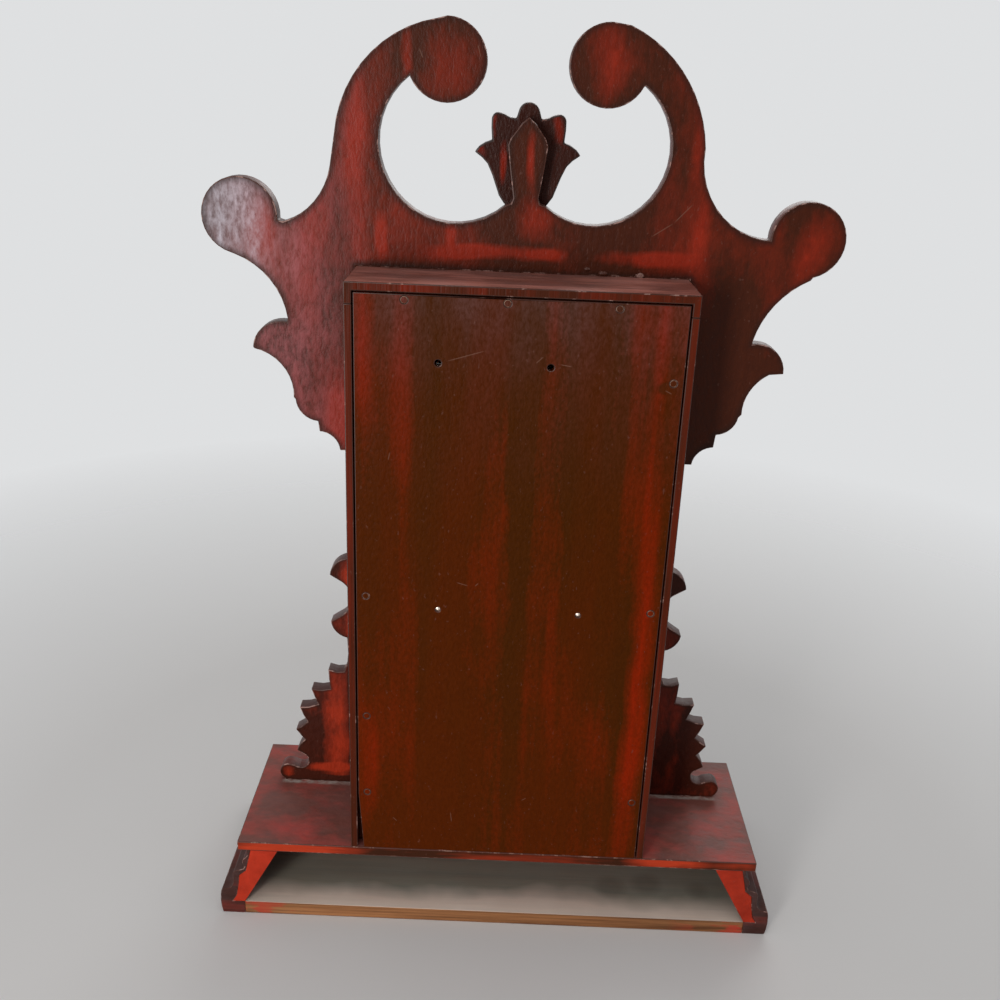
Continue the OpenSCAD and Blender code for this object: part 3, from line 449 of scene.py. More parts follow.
# The back greys towards its top: bloom with a painted sheen.
backboard_paint = streaked_paint(
    "backboard_paint", (50, 50, 2.0), 0.5, 0.84, 2.0, 0.03, (0.225, 0.0135, 0.001), (0.078, 0.0128, 0.0004),
    shade=(0.057, 0.0134, 0.0007), bristle=(560, 560, 330), laid=BACK_STROKES, scratches=BACK_SCRATCHES_AND_HIGHLIGHT,
    bloom_sheen=(2, 0.3, 0.44, 0.09, 0.3))
# The crest greys and silvers at its left ear: a painted sheen of the window's reflection, with some bloom.
crest_paint = streaked_paint(
    "crest_paint", (26, 26, 11), 0.45, 0.8, 5.0, 0.1, (0.26, 0.02, 0.007), (0.055, 0.011, 0.0035),
    bristle=PEBBLE, coarse=0.0004, laid=CREST_STROKES, scratches=CREST_SCRATCHES,
    bloom_sheen=(0, 0.085, 0.165, 1.0, 0.41), rim=0.8)
ornament_paint = streaked_paint(
    "ornament_paint", (30, 30, 14), 0.5, 0.76, 8.0, 0.1, (0.34, 0.03, 0.01), (0.05, 0.01, 0.005),
    bristle=PEBBLE, laid=ORNAMENT_STROKES, rim=0.6)
palmette_paint = streaked_paint(
    "palmette_paint", (60, 60, 30), 0.55, 0.8, 1.0, 0.08, umber=(0.034, 0.008, 0.0045),
    bristle=PEBBLE, coarse=0.0008, laid=LOBE_STROKES)
case_paint = streaked_paint(
    "case_paint", (90, 40, 5), 0.42, 0.76, 4.0, 0.06, (0.2, 0.016, 0.005), (0.058, 0.0125, 0.004))
# Case top and base top: paint made paler and greyer than the rest, a painted sheen of the bright room, with
# real dust on it.
shelf_paint_with_sheen = streaked_paint(
    "shelf_paint_with_sheen", (14, 55, 55), 0.44, 0.64, 6.0, 0.2, (0.52, 0.2, 0.155), (0.17, 0.063, 0.047), dust=0.3)
sill_paint_with_sheen = streaked_paint(
    "sill_paint_with_sheen", (22, 34, 34), 0.48, 0.64, 6.6, 0.11, (0.43, 0.066, 0.053), (0.2, 0.072, 0.057),
    dust=0.22, dirt_line=(ORNAMENT_FOOT_Y + 1.4, 3, 95, 154))
rim_paint = streaked_paint(
    "rim_paint", (9, 70, 70), 0.5, 0.8, 9.0, 0.1, (0.44, 0.04, 0.012), laid=RIM_STROKES)
moulding_paint = streaked_paint(
    "moulding_paint", (10, 10, 90), 0.48, 0.72, 3.0, 0.18, (0.26, 0.03, 0.02), (0.045, 0.014, 0.01),
    dust=0.2)
core_paint = streaked_paint(
    "core_paint", (26, 26, 26), 0.3, 0.55, 2.5, 0.1, (0.44, 0.032, 0.012), (0.24, 0.018, 0.007))
# Painted shade: almost black paint for the cores' faces inside the hollow under the base.
core_inside_shade = streaked_paint(
    "core_inside_shade", (26, 26, 26), 0.5, 0.8, 2.7, 0.05, (0.05, 0.012, 0.006), (0.012, 0.006, 0.004))
sawn_paint = streaked_paint(
    "sawn_paint", (30, 30, 12), 0.5, 0.78, 6.5, 0.14, (0.22, 0.032, 0.022), (0.075, 0.03, 0.025))
print("materials with the paints", len(bpy.data.materials))

# %% [markdown]
# Edges lose their paint first. A rubbed arris is a narrow strip of its own, where a coarse
# noise chips the coat and shows the paler wood under it.

# %% Worn arrises
def worn_edge(name, paint, bare, share, shift):
    """A rubbed arris: paint with bare, paler chips; share: how much more is chipped."""
    coat = Finish(name)
    chips = coat.cloud((160, 160, 160), shift, 5, 0.7).span(0.66 - share, 0.74 - share)
    coat.set("Base Color", blend(chips, paint, bare))
    coat.set("Roughness", chips.span(0, 1, 0.4, 0.7))
    coat.set("Specular IOR Level", 0.25)
    return coat.material


rubbed = worn_edge("rubbed_arris", (0.06, 0.016, 0.008), (0.34, 0.2, 0.17), 0.14, 1.0)
dark_arris = worn_edge("dark_arris", (0.02, 0.007, 0.004), (0.2, 0.09, 0.07), 0.07, 2.0)
seam_arris = worn_edge("seam_arris", (0.05, 0.014, 0.007), (0.3, 0.17, 0.14), 0.07, 4.0)
sill_arris = worn_edge("sill_arris", (0.09, 0.028, 0.02), (0.3, 0.17, 0.13), 0.13, 5.0)
nail_ring = worn_edge("nail_ring", (0.09, 0.034, 0.02), (0.27, 0.17, 0.12), 0.14, 3.0)
print("materials with the arrises", len(bpy.data.materials))

# %% [markdown]
# The bottom board was never painted: bare pine, its top grey with dust, with a painted band
# of window light along its open back edge, and its sawn edge warm, with a few smears of the
# red coat near the ends.
# The grain is noise drawn out along the board, and the normal tells top from edge.

# %% Bare pine
GRIME, WINDOW_LIGHT_BAND = (0.34, 0.35, 0.29), (0.88, 0.74, 0.63)
STAIN, SMEAR = (0.085, 0.085, 0.072), (0.42, 0.045, 0.025)
STAINS = [(-79.7, 33.6, 9), (-105, 29, 9), (-140, 34, 6)]


def round_stain(x, y, centre_x, centre_y, radius):
    """A soft round stain, as a wet cup leaves, in mm."""
    off_x, off_y = x - centre_x * MM, y - centre_y * MM
    away = calc("SQRT", off_x * off_x + off_y * off_y)
    return away.span((radius + 4) * MM, (radius - 3) * MM, 0, 0.32)


def dust_light_and_smears(coat, wood):
    """Dust and stains on what faces up, with a painted band of window light towards the open back edge; red
    smears on the edge towards both ends.
    """
    x, y = coat.along(0), coat.along(1)
    normal = coat.tree.nodes.new("ShaderNodeNewGeometry").outputs["Normal"]
    facing = coat.tree.nodes.new("ShaderNodeSeparateXYZ")
    coat.tree.links.new(normal, facing.inputs[0])
    up = Signal(facing.outputs[2]).span(0.6, 0.9)
    wavy = (coat.cloud((14, 14, 14), 6, 3, 0.6) - 0.5) * 0.03
    # Paler past a wavy line towards the open back edge: a painted band of window light.
    dust_and_light_band = blend((y + wavy).span(0.039, 0.054), GRIME, WINDOW_LIGHT_BAND)
    for spot in STAINS:
        dust_and_light_band = blend(round_stain(x, y, *spot), dust_and_light_band, STAIN)
    felt = coat.cloud((12, 12, 12), 4, 4, 0.6).span(0.3, 0.7, 0.75, 0.97)
    wood = blend(up * felt, wood, dust_and_light_band)
    smear = coat.cloud((30, 60, 120), 9, 4, 0.6).span(0.5, 0.56)
    smear = smear * abs(x).span(0.115, 0.168) * (1 - up)
    return blend(smear, wood, SMEAR)


def bare_pine(name, light, dark, dusty_and_lit):
    """Pine with its grain along x; the last flag adds dust, a painted band of window light on top, stains
    and smears.
    """
    coat = Finish(name)
    grain = coat.cloud((5, 90, 130), 1.0, 6, 0.65)
    lines = coat.cloud((7, 330, 460), 2.0, 4, 0.6)
    figure = grain * 0.55 + lines * 0.45
    wood = blend(figure.span(0.41, 0.6), dark, light)
    if dusty_and_lit:
        wood = dust_light_and_smears(coat, wood)
    coat.set("Base Color", wood)
    coat.set("Roughness", 0.68)
    coat.set("Specular IOR Level", 0.15)
    coat.dent(grain, 0.0004)
    return coat.material


bottom_pine = bare_pine("bottom_pine", (0.37, 0.162, 0.064), (0.1, 0.037, 0.014), True)
cleat_pine = bare_pine("cleat_pine", (0.5, 0.3, 0.15), (0.33, 0.17, 0.07), False)
print("stains on the bottom board", len(STAINS))

# %% [markdown]
# Metals: lacquered brass gone a little brown, bright and blued steel, black iron. One
# recipe does for all, because they differ only in tone and polish: a soft cloud varies
# colour and gloss, as fingers and damp do.

# %% Metals
def metal(name, bright, dull, rough, shift, grain=60):
    """A metal with soft tarnish; grain: tarnish features per metre."""
    coat = Finish(name)
    tarnish = coat.cloud((grain, grain, grain), shift, 5, 0.65)
    coat.set("Base Color", blend(tarnish.span(0.4, 0.7), bright, dull))
    coat.set("Metallic", 1)
    coat.set("Roughness", tarnish.span(0.3, 0.75, rough, rough + 0.2))
    coat.dent(coat.cloud((900, 900, 900), shift, 2, 0.5), 0.00004)
    return coat.material


brass = metal("aged_brass", (0.72, 0.5, 0.2), (0.42, 0.26, 0.1), 0.26, 1)
bob_brass = metal("polished_bob", (0.8, 0.58, 0.25), (0.55, 0.35, 0.14), 0.16, 2)
steel = metal("turned_steel", (0.55, 0.55, 0.56), (0.34, 0.32, 0.3), 0.3, 3)
blued = metal("blued_spring", (0.16, 0.19, 0.27), (0.12, 0.11, 0.12), 0.3, 4)
iron = metal("black_iron", (0.06, 0.06, 0.065), (0.035, 0.03, 0.028), 0.5, 5)
hand_black = metal("hand_black", (0.03, 0.03, 0.035), (0.02, 0.018, 0.018), 0.35, 7)
gilt = metal("gilt", (0.75, 0.53, 0.2), (0.5, 0.33, 0.12), 0.35, 8)
screw_steel = metal("screw_steel", (0.82, 0.7, 0.6), (0.24, 0.18, 0.14), 0.3, 9, 420)
print("materials with the metals", len(bpy.data.materials))

# %% [markdown]
# The crest and the side ornaments are darker along their outlines. A material can't see how
# far an edge is, so the mesh has to say it: the flat face is filled with small triangles,
# and every corner stores its nearness to the outline for the paint to read.

# %% A net inside an outline
def edge_distance(point, corner):
    """How far each point is from a closed outline."""
    edge = np.roll(corner, -1, axis=0) - corner
    run = np.clip(((point[:, None] - corner) * edge).sum(2) / (edge ** 2).sum(1), 0, 1)
    return np.linalg.norm(point[:, None] - corner - run[..., None] * edge, axis=2).min(1)


def inside_outline(point, corner):
    """Whether each point is inside: a line to its right then crosses the outline an odd number of times."""
    ahead = np.roll(corner, -1, axis=0)
    edge = ahead - corner
    rise = np.where(edge[:, 1] == 0, 1, edge[:, 1])
    passed = (corner[:, 1] > point[:, None, 1]) != (ahead[:, 1] > point[:, None, 1])
    cross = corner[:, 0] + (point[:, None, 1] - corner[:, 1]) / rise * edge[:, 0]
    return (passed & (point[:, None, 0] < cross)).sum(1) % 2 == 1


def fill_with_net(work, face, near, reach):
    """Fills a flat front or back face with small triangles; near keeps how near the edge is."""
    rim = list(face.verts)
    corner = np.array([(v.co.x, v.co.z) for v in rim])
    low, high = corner.min(0), corner.max(0)
    grid = np.meshgrid(*(np.arange(low[i], high[i], reach * 0.8) for i in (0, 1)))
    point = np.column_stack([line.ravel() for line in grid])
    away = edge_distance(point, corner)
    keep = inside_outline(point, corner) & (away > reach * 0.3)
    nearness = np.clip(1 - away[keep] / reach, 0, 1)
    flat = [Vector(p) for p in corner] + [Vector(p) for p in point[keep]]
    found = delaunay_2d_cdt(flat, [], [list(range(len(rim)))], 1, 1e-7)
    level, facing, paint = rim[0].co.y, face.normal.y, face.material_index
    corners = []
    for spot, origin in zip(found[0], found[3]):
        first = min(origin) if origin else -1
        if 0 <= first < len(rim):
            corners.append(rim[first])
            continue
        corners.append(work.verts.new((spot.x, level, spot.y)))
        corners[-1][near] = float(nearness[first - len(rim)]) if first >= 0 else 1.0
    work.faces.remove(face)
    for triangle in found[2]:
        made = work.faces.new([corners[i] for i in triangle])
        made.material_index = paint
        made.normal_update()
        if made.normal.y * facing < 0:
            made.normal_flip()


UNIT_SQUARE = np.array([(0, 0), (1, 0), (1, 1), (0, 1)])
middle = UNIT_SQUARE.mean(axis=0, keepdims=True)
print("middle of a unit square: inside", inside_outline(middle, UNIT_SQUARE),
      "and from the edge", edge_distance(middle, UNIT_SQUARE))

# %% [markdown]
# A board from the solids is copied, its triangles are merged back into whole faces, and
# every arris is rounded a little, because nothing rubbed for a hundred years stays sharp.
# A Bevel modifier would do it too, but here the rounded strips also have to take their own
# worn finish, and the flat faces have to stay flat.

# %% Dress a wooden piece
MERGE = 2e-6
CURVED_FACE = 1000
NETTED_FACE = 900
SHARP_SEAM = 50


def plain_copy(node, name, finishes, keep_normals=False):
    """A copy of a node's mesh with its own finishes."""
    shape = frame["nodes"][node].data.copy()
    shape.name = name
    if not keep_normals and "custom_normal" in shape.attributes:
        shape.attributes.remove(shape.attributes["custom_normal"])
    shape.materials.clear()
    for finish in finishes:
        shape.materials.append(finish)
    return shape


def add_piece(name, shape, body, node=None):
    """Puts a mesh in the scene as a piece that rides on a body; node: the solid that it stands for."""
    piece = bpy.data.objects.new(name, shape)
    scene.collection.objects.link(piece)
    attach(piece, body)
    if node:
        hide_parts(node)
    return piece


def round_arrises(work, finishes, arris, steps, face_axis, limit):
    """Paints faces and sawn edges, and rounds what is sharper than limit degrees."""
    gentle, sharp = math.radians(1), math.radians(limit)
    bmesh.ops.remove_doubles(work, verts=work.verts, dist=MERGE)
    bmesh.ops.dissolve_limit(work, angle_limit=gentle, verts=work.verts, edges=work.edges)
    bend = {e: e.calc_face_angle(0) for e in work.edges if len(e.link_faces) == 2}
    for face in work.faces:
        curved = any(gentle < bend.get(e, 0) < sharp for e in face.edges)
        face.smooth = curved and face.calc_area() < CURVED_FACE * MM * MM
        face.material_index = 0
        if face_axis is not None and abs(face.normal[face_axis]) < 0.6:
            face.material_index = 1
    made = bmesh.ops.bevel(work, geom=[e for e, angle in bend.items() if angle > sharp], offset=arris * MM,
                           segments=steps, profile=0.6, affect="EDGES", clamp_overlap=False)
    for face in made["faces"]:
        face.material_index = len(finishes) - 1
        face.smooth = True


def dress(node, body, finishes, arris=0.5, steps=2, face_axis=None, limit=38, rim=0.0):
    """Dresses a wooden node: finishes for the faces, for the edges across face_axis, and for the arrises;
    arris: how far they are rounded; rim: how far the dark outline reaches, both in mm."""
    shape = plain_copy(node, node + "_dressed", finishes)
    work = bmesh.new()
    work.from_mesh(shape)
    round_arrises(work, finishes, arris, steps, face_axis, limit)
    near = work.verts.layers.float.new(NEAR_EDGE)
    for vert in work.verts:
        vert[near] = 1.0
    if rim:
        flat = [f for f in work.faces if abs(f.normal.y) > 0.99 and f.calc_area() > NETTED_FACE * MM * MM]
        for face in flat:
            fill_with_net(work, face, near, rim * MM)
    rounded = [face.smooth for face in work.faces]
    work.to_mesh(shape)
    work.free()
    shape.set_sharp_from_angle(angle=math.radians(SHARP_SEAM))
    shape.polygons.foreach_set("use_smooth", rounded)
    add_piece(node + "_dressed", shape, body, node)


print("seams of more than", SHARP_SEAM, "degrees stay sharp")

# %% [markdown]
# Now each board gets its paint. Boards with a show face have a second finish on their sawn
# edges, chosen by the axis that the show face looks along.

# %% Dress the boards
Y, Z = 1, 2
dress("backboard", "case", [backboard_paint, seam_arris], 0.45)
dress("crest_board", "case", [crest_paint, sawn_paint, rubbed], 0.6, face_axis=Y, rim=5)
dress("finial_palmette", "case", [palmette_paint, sawn_paint, dark_arris], 0.9, face_axis=Y)
for side in ("left", "right"):
    dress("side_ornament_" + side, "case", [ornament_paint, sawn_paint, rubbed], 0.6,
          face_axis=Y, rim=2.5)
    dress("case_side_" + side, "case", [case_paint, seam_arris], 0.5)
    dress("base_moulding_" + side, "case", [moulding_paint, rubbed], 0.3, 1)
    dress("door_stile_" + side, "door", [case_paint, rubbed], 0.8)
# Faces looking up or down take the paler paint with its painted sheen, and the sawn edges the darker one.
dress("case_top_board", "case", [shelf_paint_with_sheen, case_paint, seam_arris], 0.6, face_axis=Z)
dress("base_top_board", "case", [sill_paint_with_sheen, rim_paint, sill_arris], 0.6, face_axis=Z)
dress("base_moulding_front", "case", [moulding_paint, rubbed], 0.3, 1)
dress("backboard_nails", "case", [backboard_paint, nail_ring], 0.4)
# Faces across Y, most of them inside the hollow, take the almost black paint: painted shade.
dress("base_cores", "case", [core_paint, core_inside_shade, core_paint], 0.25, 1, Y)
dress("base_bottom_board", "case", [bottom_pine], 0.4, 1)
for end in ("top", "bottom"):
    dress("door_rail_" + end, "door", [case_paint, rubbed], 0.5)

# %% [markdown]
# The glass is old and slightly green, and not quite flat. The dial is ivory paper on zinc,
# a little foxed. These solids already have the right shape, so they stay as they are and
# only take a finish, by the material slot that the record gives them.

# %% Glass, dial and metal parts
def old_glass():
    """Clear glass with a long, faint ripple."""
    coat = Finish("old_glass")
    coat.set("Base Color", (0.93, 0.96, 0.94))
    coat.set("Roughness", 0.02)
    coat.set("Transmission Weight", 1)
    coat.set("IOR", 1.45)
    coat.dent(coat.cloud((9, 9, 9), 2, 2, 0.5), 0.0003)
    return coat.material


def dial_ivory():
    """Ivory paper with browner, duller blotches."""
    coat = Finish("dial_ivory")
    blotch = coat.cloud((22, 22, 22), 3, 5, 0.6)
    coat.set("Base Color", blend(blotch.span(0.45, 0.75), (0.78, 0.71, 0.55), (0.6, 0.5, 0.34)))
    coat.set("Roughness", blotch.span(0.3, 0.7, 0.45, 0.65))
    return coat.material


FINISH_OF_SLOT = {"brass": brass, "steel": steel, "blued_steel": blued, "iron": iron, "glass": old_glass(),
                  "dial_paper": dial_ivory(), "black_hands": hand_black, "raw_wood": cleat_pine,
                  "walnut_brown": case_paint, "red_brown": crest_paint, "red_paint": core_paint}
FINISH_OF_NODE = {"pendulum_bob": bob_brass}
slot_of = {part["node"]: part["material_slot"] for part in frame["record"]["subparts"]}
for node, solid in frame["nodes"].items():
    solid.data.materials.clear()
    solid.data.materials.append(FINISH_OF_NODE.get(node, FINISH_OF_SLOT[slot_of[node]]))
print("slots", sorted(set(slot_of.values())))

# %% [markdown]
# Wheels are brass, pressed on steel arbors. A copy of each one takes steel on the faces
# close to its axis and brass on the rest, which is simpler than cutting it in two.

# %% Brass on steel
STEEL_RADIUS = {"centre_wheel": 1.9, "time_second_wheel": 1.9, "strike_second_wheel": 1.9,
                "third_wheel": 1.7, "strike_third_wheel": 1.7, "escape_wheel": 1.6}
bodies = frame["record"]["behaviour"]["bodies"]
body_of_node = {node: body for body, members in bodies.items() for node in members}


def two_metals(node, steel_radius):
    """Repaints a turning piece: steel near its axis, brass further out."""
    name = node + "_two_metals"
    shape = plain_copy(node, name, [brass, steel], keep_normals=True)
    low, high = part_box(node)
    axis = (low + high) / 2
    for face in shape.polygons:
        reach = math.hypot(face.center.x - axis.x, face.center.z - axis.z)
        face.material_index = 1 if reach < steel_radius * MM else 0
    add_piece(name, shape, body_of_node[node], node)


for node, radius in STEEL_RADIUS.items():
    two_metals(node, radius)
print("wheels of two metals", len(STEEL_RADIUS))

# %% [markdown]
# Two screws of the movement come right through the backboard. Each point is filed to a
# blunt cone, which catches the light inside its dark hole. The cone is made from the flat
# tip of the solid: its face is taken out, its ring pushed back, and a point put in front.

# %% Screw points
POINT_LENGTH = 0.6
TIP_SLACK = 0.05


def pointed_screws(node):
    """A copy of the screws in which the flat tips at the back become cones."""
    shape = plain_copy(node, node + "_pointed", [screw_steel])
    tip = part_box(node)[1].y - TIP_SLACK * MM
    work = bmesh.new()
    work.from_mesh(shape)
    bmesh.ops.remove_doubles(work, verts=work.verts, dist=MERGE)
    for side in (-1, 1):
        middles = [(face, face.calc_center_median()) for face in work.faces]
        flat = [face for face, middle in middles if middle.y > tip and middle.x * side > 0]
        ring = [edge for edge in work.edges if sum(face in flat for face in edge.link_faces) == 1]
        corners = list(dict.fromkeys(vert for edge in ring for vert in edge.verts))
        point = work.verts.new(sum((vert.co for vert in corners), Vector()) / len(corners))
        bmesh.ops.delete(work, geom=flat, context="FACES_ONLY")
        for edge in ring:
            work.faces.new((*edge.verts, point))
        for corner in corners:
            corner.co.y -= POINT_LENGTH * MM
    bmesh.ops.delete(work, geom=[e for e in work.edges if not e.link_faces], context="EDGES")
    bmesh.ops.recalc_face_normals(work, faces=work.faces)
    work.to_mesh(shape)
    work.free()
    print(shape.name, len(shape.polygons), "faces")
    add_piece(node + "_pointed", shape, body_of_node[node], node)


pointed_screws("movement_screws")

# %% [markdown]
# Glue squeezed out where the crest sits on the case top, and was painted over. A few
# flattened balls along the joint are enough, each swollen a little by a wave so that no two
# look alike.

# %% Glue lumps
LUMPS = [(-36.4, 3.6, 1.5), (-45.7, 1.4, 2.2), (-52, 0.3, 1.7), (-66.7, 1.0, 2.2), (12, 0.4, 1.4)]
FLATTEN = Vector((1.3, 0.6, 0.7))


def glue_lumps():
    """Flattened balls, each (x, height above the case top, radius), on the back of the crest."""
    joint_y, joint_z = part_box("crest_board")[1].y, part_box("case_top_board")[1].z
    work = bmesh.new()
    for x, up, radius in LUMPS:
        middle = Vector((x * MM, joint_y, joint_z + up * MM))
        ball = bmesh.ops.create_icosphere(work, subdivisions=2, radius=radius * MM)
        for vert in ball["verts"]:
            swell = 1 + 0.25 * math.sin(2 * vert.co.x / MM + x)
            vert.co = vert.co * FLATTEN * Vector((1, 1, swell)) + middle
    for face in work.faces:
        face.smooth = True
    shape = bpy.data.meshes.new("glue_lumps")
    work.to_mesh(shape)
    work.free()
    shape.materials.append(rubbed)
    add_piece("glue_lumps", shape, "case")
    print("glue lumps", len(LUMPS))


glue_lumps()

# %% [markdown]
# The front of a gingerbread clock is pressed: a hot steel die squeezes reeds, veins and
# rosettes into the damp board. Seen close they are half-round ribs with rubbed tops, so a
# rib is swept here along a few points of each scroll. A bump would do from afar, but a rib
# of real height also shows from the side.

# %% Ribs
SUNK = 0.05
RIB_END = 0.35
HALF_ROUND = [(math.cos(math.pi * i / 4), math.sin(math.pi * i / 4)) for i in range(5)]


def rib(line, face_y, width, height):
    """A half-round rib along (x, z) points, thinned at both ends, sunk a hair into the plane face_y."""
    verts, faces = [], []
    last = len(line) - 1
    for i, (x, z) in enumerate(line):
        ahead = Vector(line[min(i + 1, last)]) - Vector(line[max(i - 1, 0)])
        side = Vector((-ahead.y, ahead.x)).normalized()
        thin = RIB_END if i in (0, last) else 1
        for across, up in HALF_ROUND:
            off = side * across * width / 2 * thin
            out = face_y + SUNK - up * height * thin
            verts.append(((x + off.x) * MM, out * MM, (z + off.y) * MM))
    for i in range(0, 5 * last, 5):
        faces += [(i + j, i + j + 1, i + j + 6, i + j + 5) for j in range(4)]
        faces.append((i + 4, i, i + 5, i + 9))
    faces += [(4, 3, 2, 1, 0), tuple(range(5 * last, 5 * last + 5))]
    return verts, faces


def closed_mesh(name, parts):
    """One mesh of several (corners, faces) shells, its faces turned outwards."""
    verts, faces = [], []
    for more_verts, more_faces in parts:
        faces += [tuple(i + len(verts) for i in face) for face in more_faces]
        verts += more_verts
    shape = bpy.data.meshes.new(name)
    shape.from_pydata(verts, [], faces)
    work = bmesh.new()
    work.from_mesh(shape)
    bmesh.ops.recalc_face_normals(work, faces=work.faces)
    work.to_mesh(shape)
    work.free()
    return shape


def relief(name, groups, finish, body):
    """One piece of several groups of ribs: (lines, face_y, width, height)."""
    shape = closed_mesh(name, [rib(line, *size) for lines, *size in groups for line in lines])
    for face in shape.polygons:
        face.use_smooth = len(face.vertices) == 4
    shape.materials.append(finish)
    add_piece(name, shape, body)
    print(name, len(shape.polygons), "faces")


print("a rib has", len(HALF_ROUND), "corners across")

# %% [markdown]
# Most of the pattern is drawn once, on the half at +X, and mirrored. Only the scroll and
# the rosettes of the other half are drawn on their own, because that half is sawn slimmer.
# Heights count from the case top or from the top of the base, in mm.

# %% Crest, palmette and ornament ribs
def arc_points(x, z, radius, start, end, steps):
    """Points of an arc in the board's plane, in mm, from angle start to end in degrees."""
    turn = [math.radians(start + (end - start) * i / steps) for i in range(steps + 1)]
    return [(x + radius * math.cos(t), z + radius * math.sin(t)) for t in turn]


def raised(lines, up):
    """The lines, moved up."""
    return [[(x, up + z) for x, z in line] for line in lines]


def flipped(lines):
    """The mirror images of the lines, on the other half of the clock."""
    return [[(-x, z) for x, z in line] for line in lines]


def rings(centres, radii, end, steps):
    """Circles round each centre, open a few degrees before their end."""
    return [arc_points(*centre, radius, 0, end, steps) for centre in centres for radius in radii]


CASE_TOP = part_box("case_top_board")[1].z / MM
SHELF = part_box("base_top_board")[1].z / MM
CASE_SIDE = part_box("case_side_right")[1].x / MM
CREST_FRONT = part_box("crest_board")[0].y / MM
PALM_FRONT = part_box("finial_palmette")[0].y / MM
ORNAMENT_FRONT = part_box("side_ornament_right")[0].y / MM
ROSETTES = [(45.2, CASE_TOP + 110.6), (160, CASE_TOP + 25.3)]
SLIM_ROSETTES = [(41.5, CASE_TOP + 110.9), (159.3, CASE_TOP + 24.2)]
ROSETTE_RINGS = (16.5, 5)
NECK = [[(104, -100), (109, -70), (108, -40), (112, -12), (124, 8), (140, 20)],
        [(112, -90), (121, -66), (121, -40), (128, -14), (142, 6)],
        [(122, -56), (136, -46), (148, -49)]]
VEINS = [[(1.2, 38), (6, 60), (14, 72), (17, 79)], [(3, 38), (12, 54), (19, 62), (25.5, 64.5)]]
MIDRIB = [(0, z) for z in (38, 52, 66, 78, 86)]
TOOTH_TIPS = [(47.6, 24.9), (47.8, 42.1), (44.7, 60), (36.3, 75), (24.4, 90.8)]
FAN_ANGLES = [math.radians(angle) for angle in (14, 34, 56, 78)]
FAN_STEPS = (6, 12, 18, 24)

arm = [arc_points(39.3, CASE_TOP + 67, 49, 74, -18, 18),
       arc_points(39.3, CASE_TOP + 67, 61, 78, 2, 18)]
slim_arm = [arc_points(35.5, CASE_TOP + 67.5, 47, 70, -14, 18),
            arc_points(27.5, CASE_TOP + 64.5, 66, 66, 2, 18)]
neck = raised(NECK, CASE_TOP)
fan = [[(0.9 * d * math.cos(t), CASE_TOP + 2 + d * 0.88 * math.sin(t)) for d in FAN_STEPS]
       for t in FAN_ANGLES]
rosette_rings = rings(ROSETTES, ROSETTE_RINGS, 352, 24)
rosette_rings += flipped(rings(SLIM_ROSETTES, ROSETTE_RINGS, 352, 24))
relief("crest_ribs", [(neck + flipped(neck) + arm + flipped(slim_arm), CREST_FRONT, 3.2, 1.3),
                      (fan + flipped(fan), CREST_FRONT, 3.4, 1.2),
                      (rosette_rings, CREST_FRONT, 2.0, 1.0)], sawn_paint, "case")
veins = raised(VEINS + flipped(VEINS) + [MIDRIB], CASE_TOP)
relief("palmette_veins", [(veins, PALM_FRONT, 1.8, 1.0)], palmette_paint, "case")
spray = [[(CASE_SIDE + 5, SHELF + 12 + 7 * i), (CASE_SIDE + 5 + 0.4 * x, SHELF + 10 + 3 * i + 0.42 * z),
          (CASE_SIDE + 0.88 * x, SHELF + 0.94 * z)] for i, (x, z) in enumerate(TOOTH_TIPS)]
spray.append([(CASE_SIDE + 4.6, SHELF + z) for z in (66, 90, 115, 140, 165)])
spray.append([(CASE_SIDE + x, SHELF + z) for x, z in ((7, 6), (30, 6.5), (53, 6.8))])
relief("ornament_ribs", [(spray + flipped(spray), ORNAMENT_FRONT, 2.6, 1.1)],
       sawn_paint, "case")

# %% [markdown]
# The door frame has a thin bead run round the glass and a reed down each stile. Both are
# half-round strips, so the ribs serve again, on straight lines.

# %% Door beads
DOOR_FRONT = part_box("door_stile_right")[0].y / MM
BEAD_INSET = 1.2
REED_SHORT = 4
glass_low, glass_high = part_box("door_glass")
stile_low, stile_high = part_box("door_stile_right")
IN_X = glass_high.x / MM - BEAD_INSET
IN_LOW, IN_HIGH = glass_low.z / MM + BEAD_INSET, glass_high.z / MM - BEAD_INSET
IN_MIDDLE = (IN_LOW + IN_HIGH) / 2
REED_X = (stile_low.x + stile_high.x) / 2 / MM + 2
rails = [[(-IN_X, z), (0, z), (IN_X, z)] for z in (IN_LOW, IN_HIGH)]
jambs = [[(x, IN_LOW), (x, IN_MIDDLE), (x, IN_HIGH)] for x in (-IN_X, IN_X)]
reed = [[(REED_X, z) for z in (IN_LOW + REED_SHORT, IN_MIDDLE, IN_HIGH - REED_SHORT)]]
relief("door_bead_ribs", [(rails + jambs, DOOR_FRONT, 2.2, 1.0),
                          (reed + flipped(reed), DOOR_FRONT, 3.0, 0.9)], sawn_paint, "door")

# %% [markdown]
# What repeats along a line is made by one Geometry Nodes tree: it walks a path at a fixed
# spacing and puts a small shape on each step, turned along the path. Pearls on the crest,
# rosette petals, minute marks and stencilled leaves all come from it, so each of them is an
# outline, a path and a spacing, and nothing is placed by hand.

